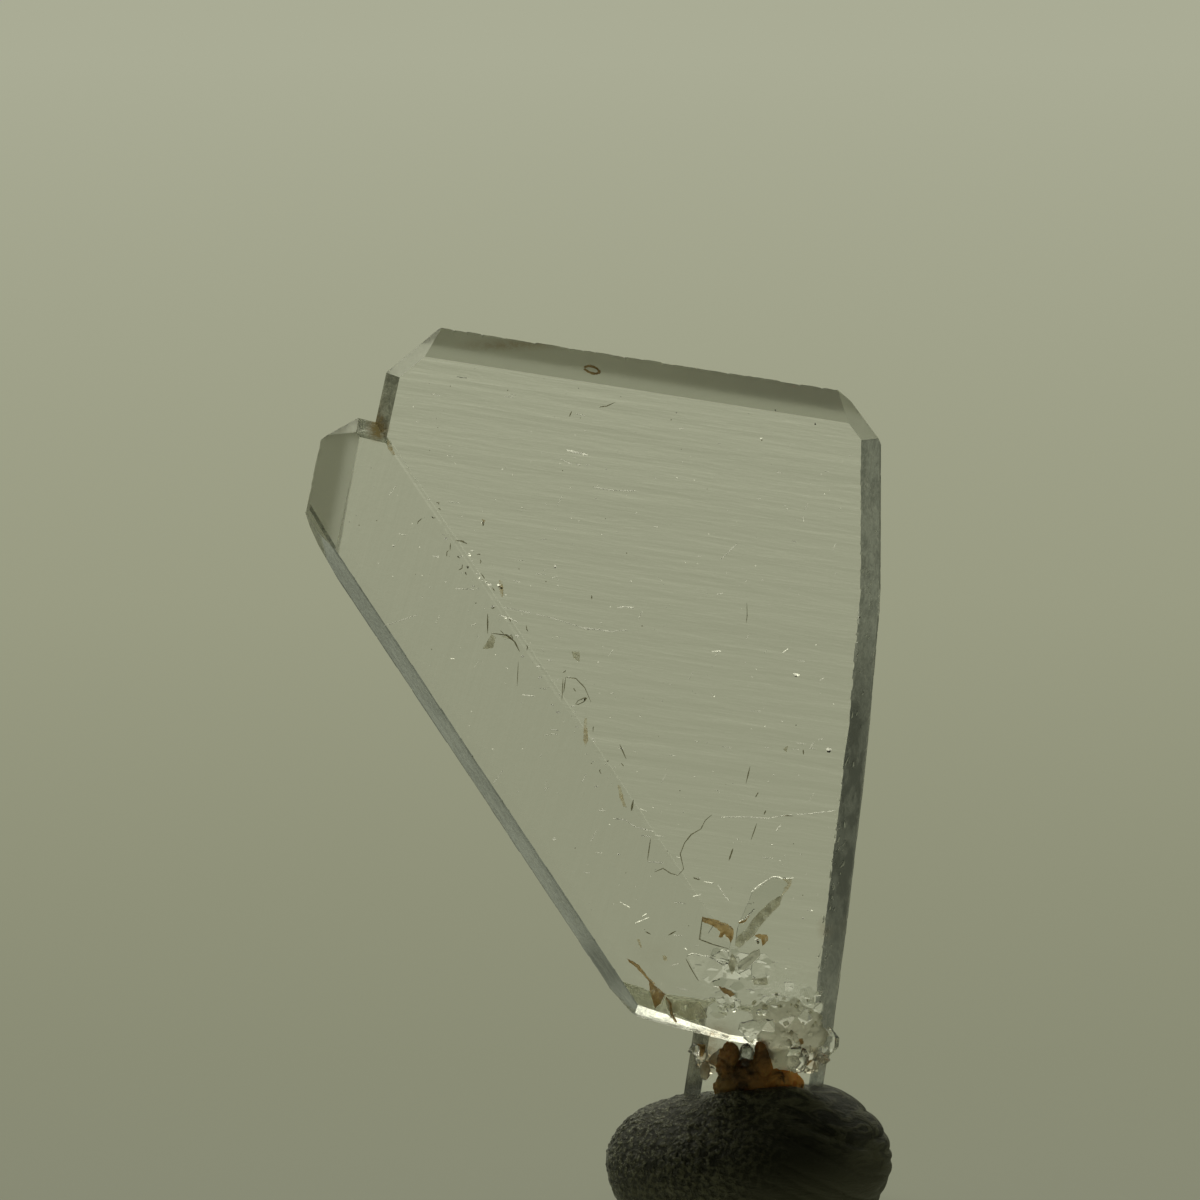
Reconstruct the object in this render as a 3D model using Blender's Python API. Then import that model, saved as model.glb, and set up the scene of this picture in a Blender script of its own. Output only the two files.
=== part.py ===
"""Japan law twin of quartz, standing in a lump of mineral tack.

Two quartz crystals, each flattened to a plate about two millimetres thick, lie in one plane and have
grown together on a composition plane, with their long axes 84.6 degrees apart. The right individual
is the larger and its long axis stands almost upright. The left one's lies almost level. A stub of the
right individual runs down past a clump of root crystals and a cake of iron-stained clay into the tack.

Metres, +Z up. X runs along the plate to the right and Y through it to the back. The origin is the
middle of the tack's flat underside. Below, shapes are worked out in millimetres and scaled once.
"""

import math

import bmesh
import bpy
from mathutils import Vector

MM = 0.001
GAP = 0.3  # between separate pieces, mm

# Quartz: the angle between the twin's two long axes, and how far each kind of face leans out of the
# plate's plane. Faces come in pairs, front and back, that meet in a ridge on the plate's rim.
TWIN_ANGLE = 84.55
RIGHT_AXIS = 81.4
LEAN = {"prism": 30.0, "roof": 51.8, "shoulder": 23.1, "corner": 20.0}
RHOMB_RADIAL = 0.786
RHOMB_AXIAL = 0.618
RHOMB_STEP = 0.07  # three faces of each point are smaller, set back this share of the width

# The plate: its front face, its back face at the top of each individual, and how the back slopes.
FRONT = -0.80
SEAM_STEP = 0.05  # the left individual's front lies this far behind the right one's
SEAM_OVERLAP = 0.02
RIGHT_BACK = 0.74
RIGHT_BACK_SLOPE = 0.033
LEFT_BACK = 1.10
LEFT_BACK_SLOPE = 0.022
PLATE_TOP = 27.3
RIGHT_FOOT = 5.35

# Each individual's rim, clockwise: a corner (x, z), then the kind of face that runs on to the next
# corner and how far its ridge lies behind the front face. The last corner only ends the last face.
NOTCH = (-11.97, 25.50)
RIGHT_RIM = [
    (NOTCH, "prism", 0.77),
    ((-11.62, 27.10), "shoulder", 0.78),
    ((-9.88, 28.55), "roof", 0.80),
    ((2.94, 26.52), "shoulder", 0.98),
    ((4.19, 24.83), "prism", 1.14),
    ((4.19, 19.74), "prism", 1.20),
    ((3.78, 14.73), "prism", 1.26),
    ((3.12, 8.92), "prism", 1.26),
    ((2.62, 5.04), "end", 0.0),
]
LEFT_RIM = [
    ((-0.38, 5.58), "prism", 0.72),
    ((-1.92, 5.67), "prism", 0.72),
    ((-3.66, 6.24), "corner", 0.95),
    ((-4.24, 6.68), "shoulder", 1.38),
    ((-13.54, 20.87), "corner", 1.12),
    ((-14.25, 22.46), "roof", 0.96),
    ((-13.71, 24.97), "shoulder", 0.80),
    ((-12.52, 25.63), "prism", 0.77),
    (NOTCH, "end", 0.0),
]

# Growth ledges: which rim face they lie on, where they start and end along it (0 to 1), and how far
# they stand out.
RIGHT_LEDGES = [
    (2, 0.02, 0.14, 0.05),
    (2, 0.24, 0.37, 0.04),
    (2, 0.41, 0.48, 0.07),
    (2, 0.56, 0.61, 0.06),
    (2, 0.70, 0.80, 0.05),
    (2, 0.88, 0.96, 0.04),
    (4, 0.08, 0.58, 0.03),
    (5, 0.22, 0.66, 0.04),
    (6, 0.30, 0.80, 0.03),
    (7, 0.10, 0.42, 0.05),
]
LEFT_LEDGES = [
    (3, 0.12, 0.34, 0.02),
    (3, 0.52, 0.71, 0.02),
    (3, 0.82, 0.93, 0.03),
    (5, 0.10, 0.38, 0.03),
    (5, 0.60, 0.92, 0.03),
]
LEDGE_DEPTH = 0.5
LEDGE_HALF_THICKNESS = 0.16

# The stub that goes into the tack: half width, ridge and faces through the plate, bottom and top.
STUB_AXIS_POINT = (0.34, 5.0)
STUB_HALF_WIDTH = 2.20
STUB_FRONT = -0.15
STUB_RIDGE = 0.72
STUB_BACK = 1.30
STUB_BOTTOM = 2.20
STUB_TOP = 7.0

# Root crystals: centre (x, y, z), heading in the plate's plane from +X, tilt out of it towards the
# front, roll about the long axis, length, width and thickness. Degrees and mm.
FACE_CRYSTALS = [
    ((0.42, -0.78, 9.72), 50, 6, 20, 2.55, 0.62, 0.46),
    ((-1.08, -0.80, 9.18), -14, 4, 12, 1.25, 0.92, 0.42),
    ((-3.14, -0.80, 7.20), -54, 3, 24, 2.60, 0.42, 0.40),
    ((-1.30, -0.80, 8.02), 8, 8, 30, 1.30, 0.60, 0.55),
    ((0.05, -0.80, 8.05), 58, 12, 8, 1.35, 0.42, 0.52),
    ((0.52, -0.80, 7.72), 12, 6, 40, 0.98, 0.62, 0.56),
    ((-0.52, -0.80, 7.22), -32, 10, 16, 0.82, 0.40, 0.48),
    ((0.10, -0.80, 6.95), 76, 14, 28, 0.74, 0.40, 0.46),
]
FOOT_CRYSTALS = [
    ((2.55, -0.10, 5.42), 86, 0, 26, 1.02, 0.62, 0.44),
    ((1.42, -0.62, 5.32), -70, 48, 10, 0.92, 0.78, 0.74),
    ((1.98, -0.30, 4.86), -58, 30, 18, 0.95, 0.52, 0.50),
    ((-1.50, 0.12, 5.02), -96, 30, 6, 0.90, 0.42, 0.40),
    ((0.58, -0.78, 6.10), -40, 40, 22, 0.80, 0.55, 0.50),
    ((1.16, -0.80, 6.28), 24, 36, 14, 0.74, 0.50, 0.46),
    ((1.72, -0.76, 6.34), 66, 30, 33, 0.82, 0.52, 0.48),
    ((2.12, -0.58, 6.62), 40, 24, 8, 0.70, 0.44, 0.42),
    ((0.02, -0.66, 5.86), -88, 34, 12, 0.86, 0.46, 0.44),
    ((-0.78, -0.50, 5.92), -76, 26, 20, 0.66, 0.40, 0.38),
]

# The tack: centre, half width and depth, and how far it swells above and below its widest level.
PUTTY_CENTRE = (0.0, 0.25, 1.5)
PUTTY_HALF_WIDTH = 4.55
PUTTY_HALF_DEPTH = 3.80
PUTTY_RISE = 2.30
PUTTY_BULGE = 0.11  # the top swells this share more for each mm to the right
PUTTY_BULGE_END = 3.0  # as far as this
PUTTY_DROP = 3.20
PUTTY_SIDES = 30
PUTTY_RINGS = 16

# The clay: balls (centre, radii) that make one cake in front of the stub.
CLAY_LUMPS = [
    ((-0.60, -0.80, 4.50), (0.56, 0.66, 0.74)),
    ((0.42, -0.84, 4.52), (0.60, 0.72, 0.76)),
    ((-0.08, -0.86, 4.22), (1.02, 0.74, 0.50)),
]
CLAY_TOP = 5.02


def empty_scene():
    for thing in list(bpy.data.objects):
        bpy.data.objects.remove(thing)


def surface(name, colour, roughness):
    """A plain material with the piece's colour and roughness."""
    material = bpy.data.materials.new(name)
    material.use_nodes = True
    shader = material.node_tree.nodes["Principled BSDF"]
    shader.inputs["Base Color"].default_value = (*colour, 1.0)
    shader.inputs["Roughness"].default_value = roughness
    shader.inputs["Metallic"].default_value = 0.0
    return material


def quartz_material():
    material = surface("quartz", (0.90, 0.92, 0.88), 0.03)
    shader = material.node_tree.nodes["Principled BSDF"]
    shader.inputs["Transmission Weight"].default_value = 1.0
    shader.inputs["IOR"].default_value = 1.544
    return material


def clay_material():
    return surface("iron_clay", (0.17, 0.075, 0.02), 0.9)


def putty_material():
    return surface("putty", (0.075, 0.075, 0.058), 0.75)


def place(name, bm, material, helper=False):
    """Turns a bmesh in millimetres into an object in metres. A helper is left out of the model."""
    bmesh.ops.scale(bm, vec=(MM, MM, MM), verts=bm.verts)
    mesh = bpy.data.meshes.new(name)
    bm.to_mesh(mesh)
    bm.free()
    mesh.materials.append(material)
    thing = bpy.data.objects.new(name, mesh)
    bpy.context.scene.collection.objects.link(thing)
    thing.hide_render = helper
    if helper:
        thing.display_type = "WIRE"
    return thing


def combine(thing, other, operation, solver="EXACT"):
    """Joins another object to this one, or cuts it away, with a Boolean modifier."""
    modifier = thing.modifiers.new(f"{operation.lower()} {other.name}", "BOOLEAN")
    modifier.operation = operation
    modifier.solver = solver
    modifier.object = other


def crystal(faces, middle, reach=30.0):
    """The convex body inside a set of faces, each given as a point on it and its outward normal."""
    bm = bmesh.new()
    bmesh.ops.create_cube(bm, size=reach)
    bmesh.ops.translate(bm, vec=middle, verts=bm.verts)
    for point, normal in faces:
        parts = bm.verts[:] + bm.edges[:] + bm.faces[:]
        cut = bmesh.ops.bisect_plane(
            bm, geom=parts, dist=1e-6, plane_co=point, plane_no=normal, clear_outer=True
        )
        rim = [part for part in cut["geom_cut"] if isinstance(part, bmesh.types.BMEdge)]
        bmesh.ops.edgeloop_fill(bm, edges=rim)
    bmesh.ops.recalc_face_normals(bm, faces=bm.faces)
    return bm


def gable(start, end, ridge, kind, rise=0.0):
    """The front and back faces that meet in a ridge from start to end, with the body on its right."""
    along = Vector((end[0] - start[0], 0.0, end[1] - start[1])).normalized()
    outward = Vector((-along.z, 0.0, along.x))
    on_ridge = Vector((start[0], ridge, start[1])) + rise * outward
    lean = math.radians(LEAN[kind])
    through = Vector((0.0, math.sin(lean), 0.0))
    return [
        (on_ridge, math.cos(lean) * outward - through),
        (on_ridge, math.cos(lean) * outward + through),
    ]


def front_face(y):
    return (Vector((0.0, y, 0.0)), Vector((0.0, -1.0, 0.0)))


def flat_back(y):
    return (Vector((0.0, y, 0.0)), Vector((0.0, 1.0, 0.0)))


def back_face(y, slope):
    """A back face that is at y at the plate's top and swells slowly downwards."""
    return (Vector((0.0, y, PLATE_TOP)), Vector((0.0, 1.0, slope)).normalized())


def seam_face(side, shift):
    """The composition plane, halfway between the two long axes. Side is +1 for the right individual."""
    angle = math.radians(RIGHT_AXIS + TWIN_ANGLE / 2)
    outward = side * Vector((-math.sin(angle), 0.0, math.cos(angle)))
    return (Vector((NOTCH[0], 0.0, NOTCH[1])) + shift * outward, outward)


def rim_faces(rim, front):
    faces = []
    for (start, kind, depth), (end, _, _) in zip(rim, rim[1:]):
        faces += gable(start, end, front + depth, kind)
    return faces


def right_individual():
    faces = rim_faces(RIGHT_RIM, FRONT)
    faces.append(front_face(FRONT))
    faces.append(back_face(RIGHT_BACK, RIGHT_BACK_SLOPE))
    faces.append(seam_face(1.0, 0.0))
    faces.append((Vector((0.0, 0.0, RIGHT_FOOT)), Vector((0.0, 0.0, -1.0))))
    return crystal(faces, (-2.0, 0.0, 17.0))


def left_individual():
    faces = rim_faces(LEFT_RIM, FRONT + SEAM_STEP)
    faces.append(front_face(FRONT + SEAM_STEP))
    faces.append(back_face(LEFT_BACK, LEFT_BACK_SLOPE))
    faces.append(seam_face(-1.0, SEAM_OVERLAP))
    return crystal(faces, (-8.0, 0.0, 15.0))


def ledge(rim, front, which, first, last, rise):
    """A low step along the ridge of one pair of rim faces, with sloping ends."""
    start, kind, depth = rim[which]
    end = rim[which + 1][0]
    low = Vector((start[0], 0.0, start[1]))
    high = Vector((end[0], 0.0, end[1]))
    along = (high - low).normalized()
    outward = Vector((-along.z, 0.0, along.x))
    faces = gable(start, end, front + depth, kind, rise)
    faces.append(front_face(front + depth - LEDGE_HALF_THICKNESS))
    faces.append(flat_back(front + depth + LEDGE_HALF_THICKNESS))
    faces.append((low.lerp(high, first), (outward - 1.5 * along).normalized()))
    faces.append((low.lerp(high, last), (outward + 1.5 * along).normalized()))
    faces.append((low - LEDGE_DEPTH * outward, -outward))
    return crystal(faces, low.lerp(high, (first + last) / 2))


def stub():
    """The foot of the right individual, with the same prism faces as the rest of it."""
    return crystal(stub_faces(0.0), (0.0, 0.5, 4.5))


def stub_faces(grow):
    axis = math.radians(RIGHT_AXIS)
    along = Vector((math.cos(axis), 0.0, math.sin(axis)))
    across = Vector((along.z, 0.0, -along.x))
    centre = Vector((STUB_AXIS_POINT[0], 0.0, STUB_AXIS_POINT[1]))
    faces = []
    for side in (1.0, -1.0):
        ridge = centre + side * STUB_HALF_WIDTH * across
        start = ridge + side * along
        faces += gable((start.x, start.z), (ridge.x, ridge.z), STUB_RIDGE, "prism", grow)
    faces.append(front_face(STUB_FRONT - grow))
    faces.append(flat_back(STUB_BACK + grow))
    faces.append((Vector((0.0, 0.0, STUB_BOTTOM - grow)), Vector((0.0, 0.0, -1.0))))
    faces.append((Vector((0.0, 0.0, STUB_TOP)), Vector((0.0, 0.0, 1.0))))
    return faces


def small_crystal(centre, heading, tilt, roll, length, width, thickness):
    """A doubly ended hexagonal crystal: six prism faces and a six-sided point at each end."""
    turn = math.radians(heading)
    lift = math.radians(tilt)
    flat = Vector((math.cos(turn), 0.0, math.sin(turn)))
    axis = (math.cos(lift) * flat + Vector((0.0, -math.sin(lift), 0.0))).normalized()
    side = axis.cross(Vector((0.0, 1.0, 0.0))).normalized()
    up = side.cross(axis)
    middle = Vector(centre)
    faces = []
    for step in range(6):
        angle = math.radians(60 * step + roll)
        radial = math.cos(angle) * side + math.sin(angle) * up
        reach = 0.5 * math.hypot(width * math.cos(angle), thickness * math.sin(angle))
        faces.append((middle + reach * radial, radial))
        for end in (1.0, -1.0):
            lesser = step % 2 == (end > 0.0)
            tip = middle + end * (0.5 * length + RHOMB_STEP * width * lesser) * axis
            faces.append((tip, RHOMB_RADIAL * radial + end * RHOMB_AXIAL * axis))
    return crystal(faces, middle, reach=8.0)


def twin():
    """Both individuals, their ledges, the stub and the root crystals, fused into one crystal."""
    quartz = quartz_material()
    body = place("japan_law_twin", right_individual(), quartz)
    pieces = [left_individual(), stub()]
    pieces += [ledge(RIGHT_RIM, FRONT, *step) for step in RIGHT_LEDGES]
    pieces += [ledge(LEFT_RIM, FRONT + SEAM_STEP, *step) for step in LEFT_LEDGES]
    pieces += [small_crystal(*shape) for shape in FACE_CRYSTALS + FOOT_CRYSTALS]
    for number, piece in enumerate(pieces):
        helper = place(f"twin_piece_{number:02d}", piece, quartz, helper=True)
        combine(body, helper, "UNION", solver="MANIFOLD")
    return body


def putty_lump(grow):
    """A pressed ball: lower on its left, swelling to the right, and cut flat where it stands."""
    bm = bmesh.new()
    bmesh.ops.create_uvsphere(bm, u_segments=PUTTY_SIDES, v_segments=PUTTY_RINGS, radius=1.0)
    for vert in bm.verts:
        x = (PUTTY_HALF_WIDTH + grow) * vert.co.x
        y = (PUTTY_HALF_DEPTH + grow) * vert.co.y
        swell = 1.0 + PUTTY_BULGE * min(PUTTY_BULGE_END, max(0.0, x))
        rise = PUTTY_RISE * swell if vert.co.z > 0.0 else PUTTY_DROP
        vert.co = Vector(PUTTY_CENTRE) + Vector((x, y, (rise + grow) * vert.co.z))
    parts = bm.verts[:] + bm.edges[:] + bm.faces[:]
    cut = bmesh.ops.bisect_plane(
        bm, geom=parts, dist=1e-6, plane_co=(0, 0, 0), plane_no=(0, 0, -1), clear_outer=True
    )
    rim = [part for part in cut["geom_cut"] if isinstance(part, bmesh.types.BMEdge)]
    bmesh.ops.edgeloop_fill(bm, edges=rim)
    bmesh.ops.recalc_face_normals(bm, faces=bm.faces)
    return bm


def putty():
    """The tack, with a socket for the stub."""
    tack = putty_material()
    lump = place("putty", putty_lump(0.0), tack)
    socket = place("putty_socket", crystal(stub_faces(GAP), (0.0, 0.5, 4.5)), tack, helper=True)
    combine(lump, socket, "DIFFERENCE")
    return lump


def iron_clay():
    """The cake of clay in front of the stub, clear of the tack below it and the crystals above."""
    clay = clay_material()
    lumps = []
    for number, (centre, radii) in enumerate(CLAY_LUMPS):
        bm = bmesh.new()
        bmesh.ops.create_icosphere(bm, subdivisions=2, radius=1.0)
        bmesh.ops.scale(bm, vec=radii, verts=bm.verts)
        bmesh.ops.translate(bm, vec=centre, verts=bm.verts)
        name = f"clay_lump_{number}" if number else "iron_clay"
        lumps.append(place(name, bm, clay, helper=number > 0))
    cake = lumps[0]
    for lump in lumps[1:]:
        combine(cake, lump, "UNION")
    limits = [
        flat_back(STUB_FRONT - GAP),
        (Vector((0.0, 0.0, CLAY_TOP)), Vector((0.0, 0.0, 1.0))),
    ]
    room = place("clay_room", crystal(limits, (0.0, -5.0, 0.0)), clay, helper=True)
    combine(cake, room, "INTERSECT")
    tack = place("clay_seat", putty_lump(GAP), clay, helper=True)
    combine(cake, tack, "DIFFERENCE")
    return cake


empty_scene()
twin()
putty()
iron_clay()
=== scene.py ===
import math
import random

import bmesh
import bpy
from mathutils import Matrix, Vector, noise


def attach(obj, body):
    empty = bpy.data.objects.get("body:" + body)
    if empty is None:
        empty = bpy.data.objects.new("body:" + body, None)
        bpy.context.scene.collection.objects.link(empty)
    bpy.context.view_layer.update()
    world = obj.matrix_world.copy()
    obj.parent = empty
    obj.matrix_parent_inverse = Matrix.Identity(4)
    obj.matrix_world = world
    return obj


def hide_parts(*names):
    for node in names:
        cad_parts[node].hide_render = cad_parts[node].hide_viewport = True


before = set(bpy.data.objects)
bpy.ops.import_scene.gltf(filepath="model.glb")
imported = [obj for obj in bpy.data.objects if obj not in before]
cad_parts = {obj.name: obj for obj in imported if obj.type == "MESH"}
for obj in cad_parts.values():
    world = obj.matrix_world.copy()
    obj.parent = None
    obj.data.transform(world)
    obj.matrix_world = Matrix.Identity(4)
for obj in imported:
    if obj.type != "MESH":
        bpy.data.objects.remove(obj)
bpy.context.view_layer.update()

MM = 0.001
scene = bpy.context.scene


# Stage. A plain pale floor, a soft surround and the camera. The surround is one world shader: a pale
# backdrop behind the specimen that grows darker downwards and to both sides, a broad soft lamp above
# and behind it, a smaller one at the upper left, and little from the front, as clear crystal is lit.


class Signal:
    """A value, vector or colour in a node tree. Arithmetic on it adds the nodes."""

    def __init__(self, tree, socket, kind="value"):
        self.tree = tree
        self.socket = socket
        self.kind = kind

    def node(self, type, settings, inputs, output=0, kind="value"):
        """Any other node: its settings are set first, then the values or links of its sockets."""
        made = self.tree.nodes.new(type)
        for name, value in settings.items():
            if name == "stops":
                ramp = made.color_ramp.elements
                while len(ramp) < len(value):
                    ramp.new(0.5)
                for element, (place, colour) in zip(ramp, value):
                    element.position = place
                    element.color = (*colour, 1.0)
            else:
                setattr(made, name, value)
        for name, value in inputs.items():
            if isinstance(value, Signal):
                self.tree.links.new(value.socket, made.inputs[name])
            else:
                made.inputs[name].default_value = value
        return Signal(self.tree, made.outputs[output], kind)

    def sum(self, operation, first, second):
        """One Math or Vector Math node."""
        if self.kind == "vector":
            inputs = {0: first, 1: second}
            return self.node("ShaderNodeVectorMath", {"operation": operation}, inputs, kind="vector")
        return self.node("ShaderNodeMath", {"operation": operation}, {0: first, 1: second})

    def __add__(self, other):
        return self.sum("ADD", self, other)

    __radd__ = __add__

    def __mul__(self, other):
        return self.sum("MULTIPLY", self, other)

    __rmul__ = __mul__

    def low(self, other):
        return self.sum("MINIMUM", self, other)

    def dot(self, direction):
        """How far this vector points along a direction."""
        inputs = {0: self, 1: direction}
        return self.node("ShaderNodeVectorMath", {"operation": "DOT_PRODUCT"}, inputs, 1)

    def slide(self, start, end, how="SMOOTHSTEP"):
        """0 at start, 1 at end, and a soft or a straight slope between."""
        inputs = {"Value": self, "From Min": start, "From Max": end}
        return self.node("ShaderNodeMapRange", {"interpolation_type": how}, inputs)

    def mix(self, first, second):
        """A colour that goes from first to second as this value goes from 0 to 1."""
        inputs = {0: self, 6: first, 7: second}
        return self.node("ShaderNodeMix", {"data_type": "RGBA"}, inputs, 2, "colour")

    def ramp(self, stops):
        return self.node("ShaderNodeValToRGB", {"stops": stops}, {0: self}, 0, "colour")

    def grain(self, scale, detail=3.0, rough=0.5, distortion=0.0):
        """Cloud noise over this vector, 0 to 1."""
        inputs = {
            "Vector": self, "Scale": scale, "Detail": detail, "Roughness": rough, "Distortion": distortion
        }
        return self.node("ShaderNodeTexNoise", {}, inputs, "Fac")

    def placed(self, location=(0.0, 0.0, 0.0), turn=0.0, scale=(MM, MM, MM)):
        """This vector in a frame that stands at a location, is turned about Y and has its own scale."""
        inputs = {"Vector": self, "Location": location, "Rotation": (0.0, turn, 0.0), "Scale": scale}
        return self.node("ShaderNodeMapping", {"vector_type": "TEXTURE"}, inputs, 0, "vector")

    def relief(self, depth=MM):
        """The normal of a surface that has this height, in units of depth."""
        return self.node("ShaderNodeBump", {}, {"Height": self, "Distance": depth}, 0, "vector")


def screen(red, green, blue):
    """A colour as a screen shows it, 0 to 255, made linear."""
    return tuple(((c / 255 + 0.055) / 1.055) ** 2.4 if c > 10 else c / 3294.6 for c in (red, green, blue))


def towards(azimuth, elevation):
    """A direction, in degrees: azimuth 0 is straight behind the specimen and grows to the right."""
    turn = math.radians(azimuth)
    rise = math.radians(elevation)
    level = math.cos(rise)
    return Vector((math.sin(turn) * level, math.cos(turn) * level, math.sin(rise)))


world = bpy.data.worlds.new("studio")
scene.world = world
world.use_nodes = True
world.node_tree.nodes.clear()
sky = Signal(world.node_tree, None)
heading = sky.node("ShaderNodeTexCoord", {}, {}, "Generated", "vector")

# The surround: how bright the backdrop is at each elevation, in degrees.
BACKDROP = [
    (-90, (122, 124, 102)),
    (-50, (126, 128, 106)),
    (-31, (138, 141, 119)),
    (-18, (143, 146, 123)),
    (-10.6, (149, 151, 129)),
    (-9.3, (153, 155, 133)),
    (-8.3, (158, 160, 138)),
    (-6.9, (167, 169, 146)),
    (-5.3, (178, 180, 158)),
    (2, (186, 188, 166)),
    (90, (186, 188, 166)),
]
stops = [((math.sin(math.radians(rise)) + 1) / 2, screen(*colour)) for rise, colour in BACKDROP]
backdrop = heading.dot((0, 0, 1)).slide(-1.0, 1.0, "LINEAR").ramp(stops)

# Soft round patches of the surround: azimuth, elevation, full within, gone beyond, and colour.
PATCHES = [
    (42, -6, 6, 18, screen(66, 67, 47)),
    (-42, -8, 8, 24, screen(108, 112, 96)),
    (22, -13, 3, 9, screen(124, 127, 106)),
    (-14, -48, 6, 16, screen(122, 125, 102)),
    (-92, -38, 30, 50, screen(172, 174, 150)),
    (-100, -29, 12, 24, screen(216, 218, 184)),
    (-160, -78, 18, 32, screen(176, 178, 154)),
    (-46, -37, 6, 16, screen(112, 115, 95)),
    (41, -46, 7, 17, screen(176, 179, 156)),
    (38, 27, 12, 24, screen(133, 138, 124)),
    (180, 20, 42, 78, screen(52, 54, 45)),
    (180, -9, 9, 17, screen(134, 137, 115)),
    (111, -24, 10, 24, screen(116, 119, 96)),
    (8, 40, 11, 18, (2.3, 2.3, 1.85)),
    (-46, 40, 10, 22, (2.2, 2.2, 1.8)),
]


def patch(azimuth, elevation, inner, outer):
    """1 within a round patch of the surround, 0 outside it, and soft between."""
    edge = math.cos(math.radians(outer))
    return heading.dot(towards(azimuth, elevation)).slide(edge, math.cos(math.radians(inner)))


BESIDE_BACKDROP = screen(128, 130, 108)
surround = patch(0, -12, 27, 39).mix((*BESIDE_BACKDROP, 1), backdrop)
for azimuth, elevation, inner, outer, colour in PATCHES:
    surround = patch(azimuth, elevation, inner, outer).mix(surround, (*colour, 1))
# Seen directly, the surround is one plain tone.
straight = sky.node("ShaderNodeLightPath", {}, {}, "Is Camera Ray")
shown = straight.mix(surround, (*screen(170, 172, 150), 1))
light = sky.node("ShaderNodeBackground", {}, {"Color": shown, "Strength": 1.0})
outlet = world.node_tree.nodes.new("ShaderNodeOutputWorld")
world.node_tree.links.new(light.socket, outlet.inputs["Surface"])

LOOK_AT = Vector((-4.80, 0.0, 19.76)) * MM
CAMERA_DISTANCE = 0.400
CAMERA_RISE = math.radians(8.0)
VIEW_WIDTH = 0.0384
camera_data = bpy.data.cameras.new("camera")
camera_data.sensor_width = 36.0
camera_data.lens = 36.0 * CAMERA_DISTANCE / VIEW_WIDTH
camera_data.clip_end = 10.0
camera = bpy.data.objects.new("camera", camera_data)
scene.collection.objects.link(camera)
back_off = Vector((0, -math.cos(CAMERA_RISE), math.sin(CAMERA_RISE)))
camera.location = LOOK_AT + CAMERA_DISTANCE * back_off
camera.rotation_euler = (math.pi / 2 - CAMERA_RISE, 0.0, 0.0)
scene.camera = camera
scene.view_settings.view_transform = "Standard"
scene.cycles.max_bounces = 32
scene.cycles.transmission_bounces = 32
scene.cycles.glossy_bounces = 16
scene.cycles.blur_glossy = 0.3


def new_material(name):
    """A material, its Principled shader, and the place on the piece, in metres, as a signal."""
    material = bpy.data.materials.new(name)
    material.use_nodes = True
    shader = material.node_tree.nodes["Principled BSDF"]
    start = Signal(material.node_tree, None)
    return material, shader, start.node("ShaderNodeTexCoord", {}, {}, "Object", "vector")


def drive(shader, values):
    """Puts a number, a colour or a signal into each named socket of a shader."""
    for socket, value in values.items():
        if isinstance(value, Signal):
            shader.id_data.links.new(value.socket, shader.inputs[socket])
        else:
            shader.inputs[socket].default_value = value


def new_object(name, shape, materials, scale=1.0):
    """An object from a bmesh, which is scaled and then freed."""
    bmesh.ops.scale(shape, vec=(scale, scale, scale), verts=shape.verts)
    mesh = bpy.data.meshes.new(name)
    shape.to_mesh(mesh)
    shape.free()
    for material in materials:
        mesh.materials.append(material)
    thing = bpy.data.objects.new(name, mesh)
    scene.collection.objects.link(thing)
    return thing


# How bright the floor glows towards the back, from 0 near the camera to 1 behind the specimen.
FLOOR_STOPS = [
    (0.10, (131, 133, 113)),
    (0.156, (134, 136, 114)),
    (0.222, (139, 141, 118)),
    (0.382, (151, 153, 129)),
    (0.608, (160, 162, 139)),
    (0.868, (169, 171, 149)),
]
material, shader, spot = new_material("floor")
glow = spot.dot((0, 1, 0)).slide(-0.05, 0.45, "LINEAR").ramp([(p, screen(*c)) for p, c in FLOOR_STOPS])
drive(shader, {
    "Base Color": (0.10, 0.10, 0.085, 1),
    "Emission Color": glow,
    "Emission Strength": 0.925,
    "Roughness": 0.9,
    "Specular IOR Level": 0.0,
})
disc = bmesh.new()
bmesh.ops.create_circle(disc, cap_ends=True, segments=96, radius=1.4)
floor = new_object("floor", disc, [material])
floor.visible_transmission = False
floor.visible_glossy = False


# The twin. One crystal of two flattened individuals, grown together on a composition plane. Each rim
# face is cut as a plane, and the ridges and the edge of the right strip are worn into short runs.
# Lengths here are in millimetres, and the finished mesh is scaled once.

TWIN_ANGLE = 84.55
RIGHT_AXIS = 81.4
SEAM = math.radians(RIGHT_AXIS + TWIN_ANGLE / 2)
LEAN = {"prism": 30.0, "roof": 51.8, "shoulder": 23.1, "flank": 23.1, "corner": 20.0}
FRONT = -0.80
LEFT_FRONT = -0.795
NOTCH = (-11.97, 25.50)
RIGHT_RIM = [
    (NOTCH, "prism", 0.77),
    ((-11.62, 27.10), "shoulder", 0.78),
    ((-9.88, 28.55), "roof", 0.72),
    ((2.94, 26.52), "shoulder", 0.98),
    ((4.19, 24.83), "prism", 1.14),
    ((4.19, 19.74), "prism", 1.20),
    ((3.78, 14.73), "prism", 1.26),
    ((3.12, 8.92), "prism", 1.26),
    ((2.62, 5.04), "end", 0.0),
]
LEFT_RIM = [
    ((-0.38, 5.44), "prism", 0.52),
    ((-1.92, 5.67), "prism", 0.88),
    ((-3.66, 6.24), "corner", 0.95),
    ((-4.24, 6.68), "flank", 1.38),
    ((-13.54, 20.87), "corner", 1.12),
    ((-14.25, 22.46), "roof", 0.93),
    ((-13.71, 24.97), "shoulder", 0.80),
    ((-12.52, 25.63), "prism", 0.77),
    (NOTCH, "end", 0.0),
]
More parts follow.
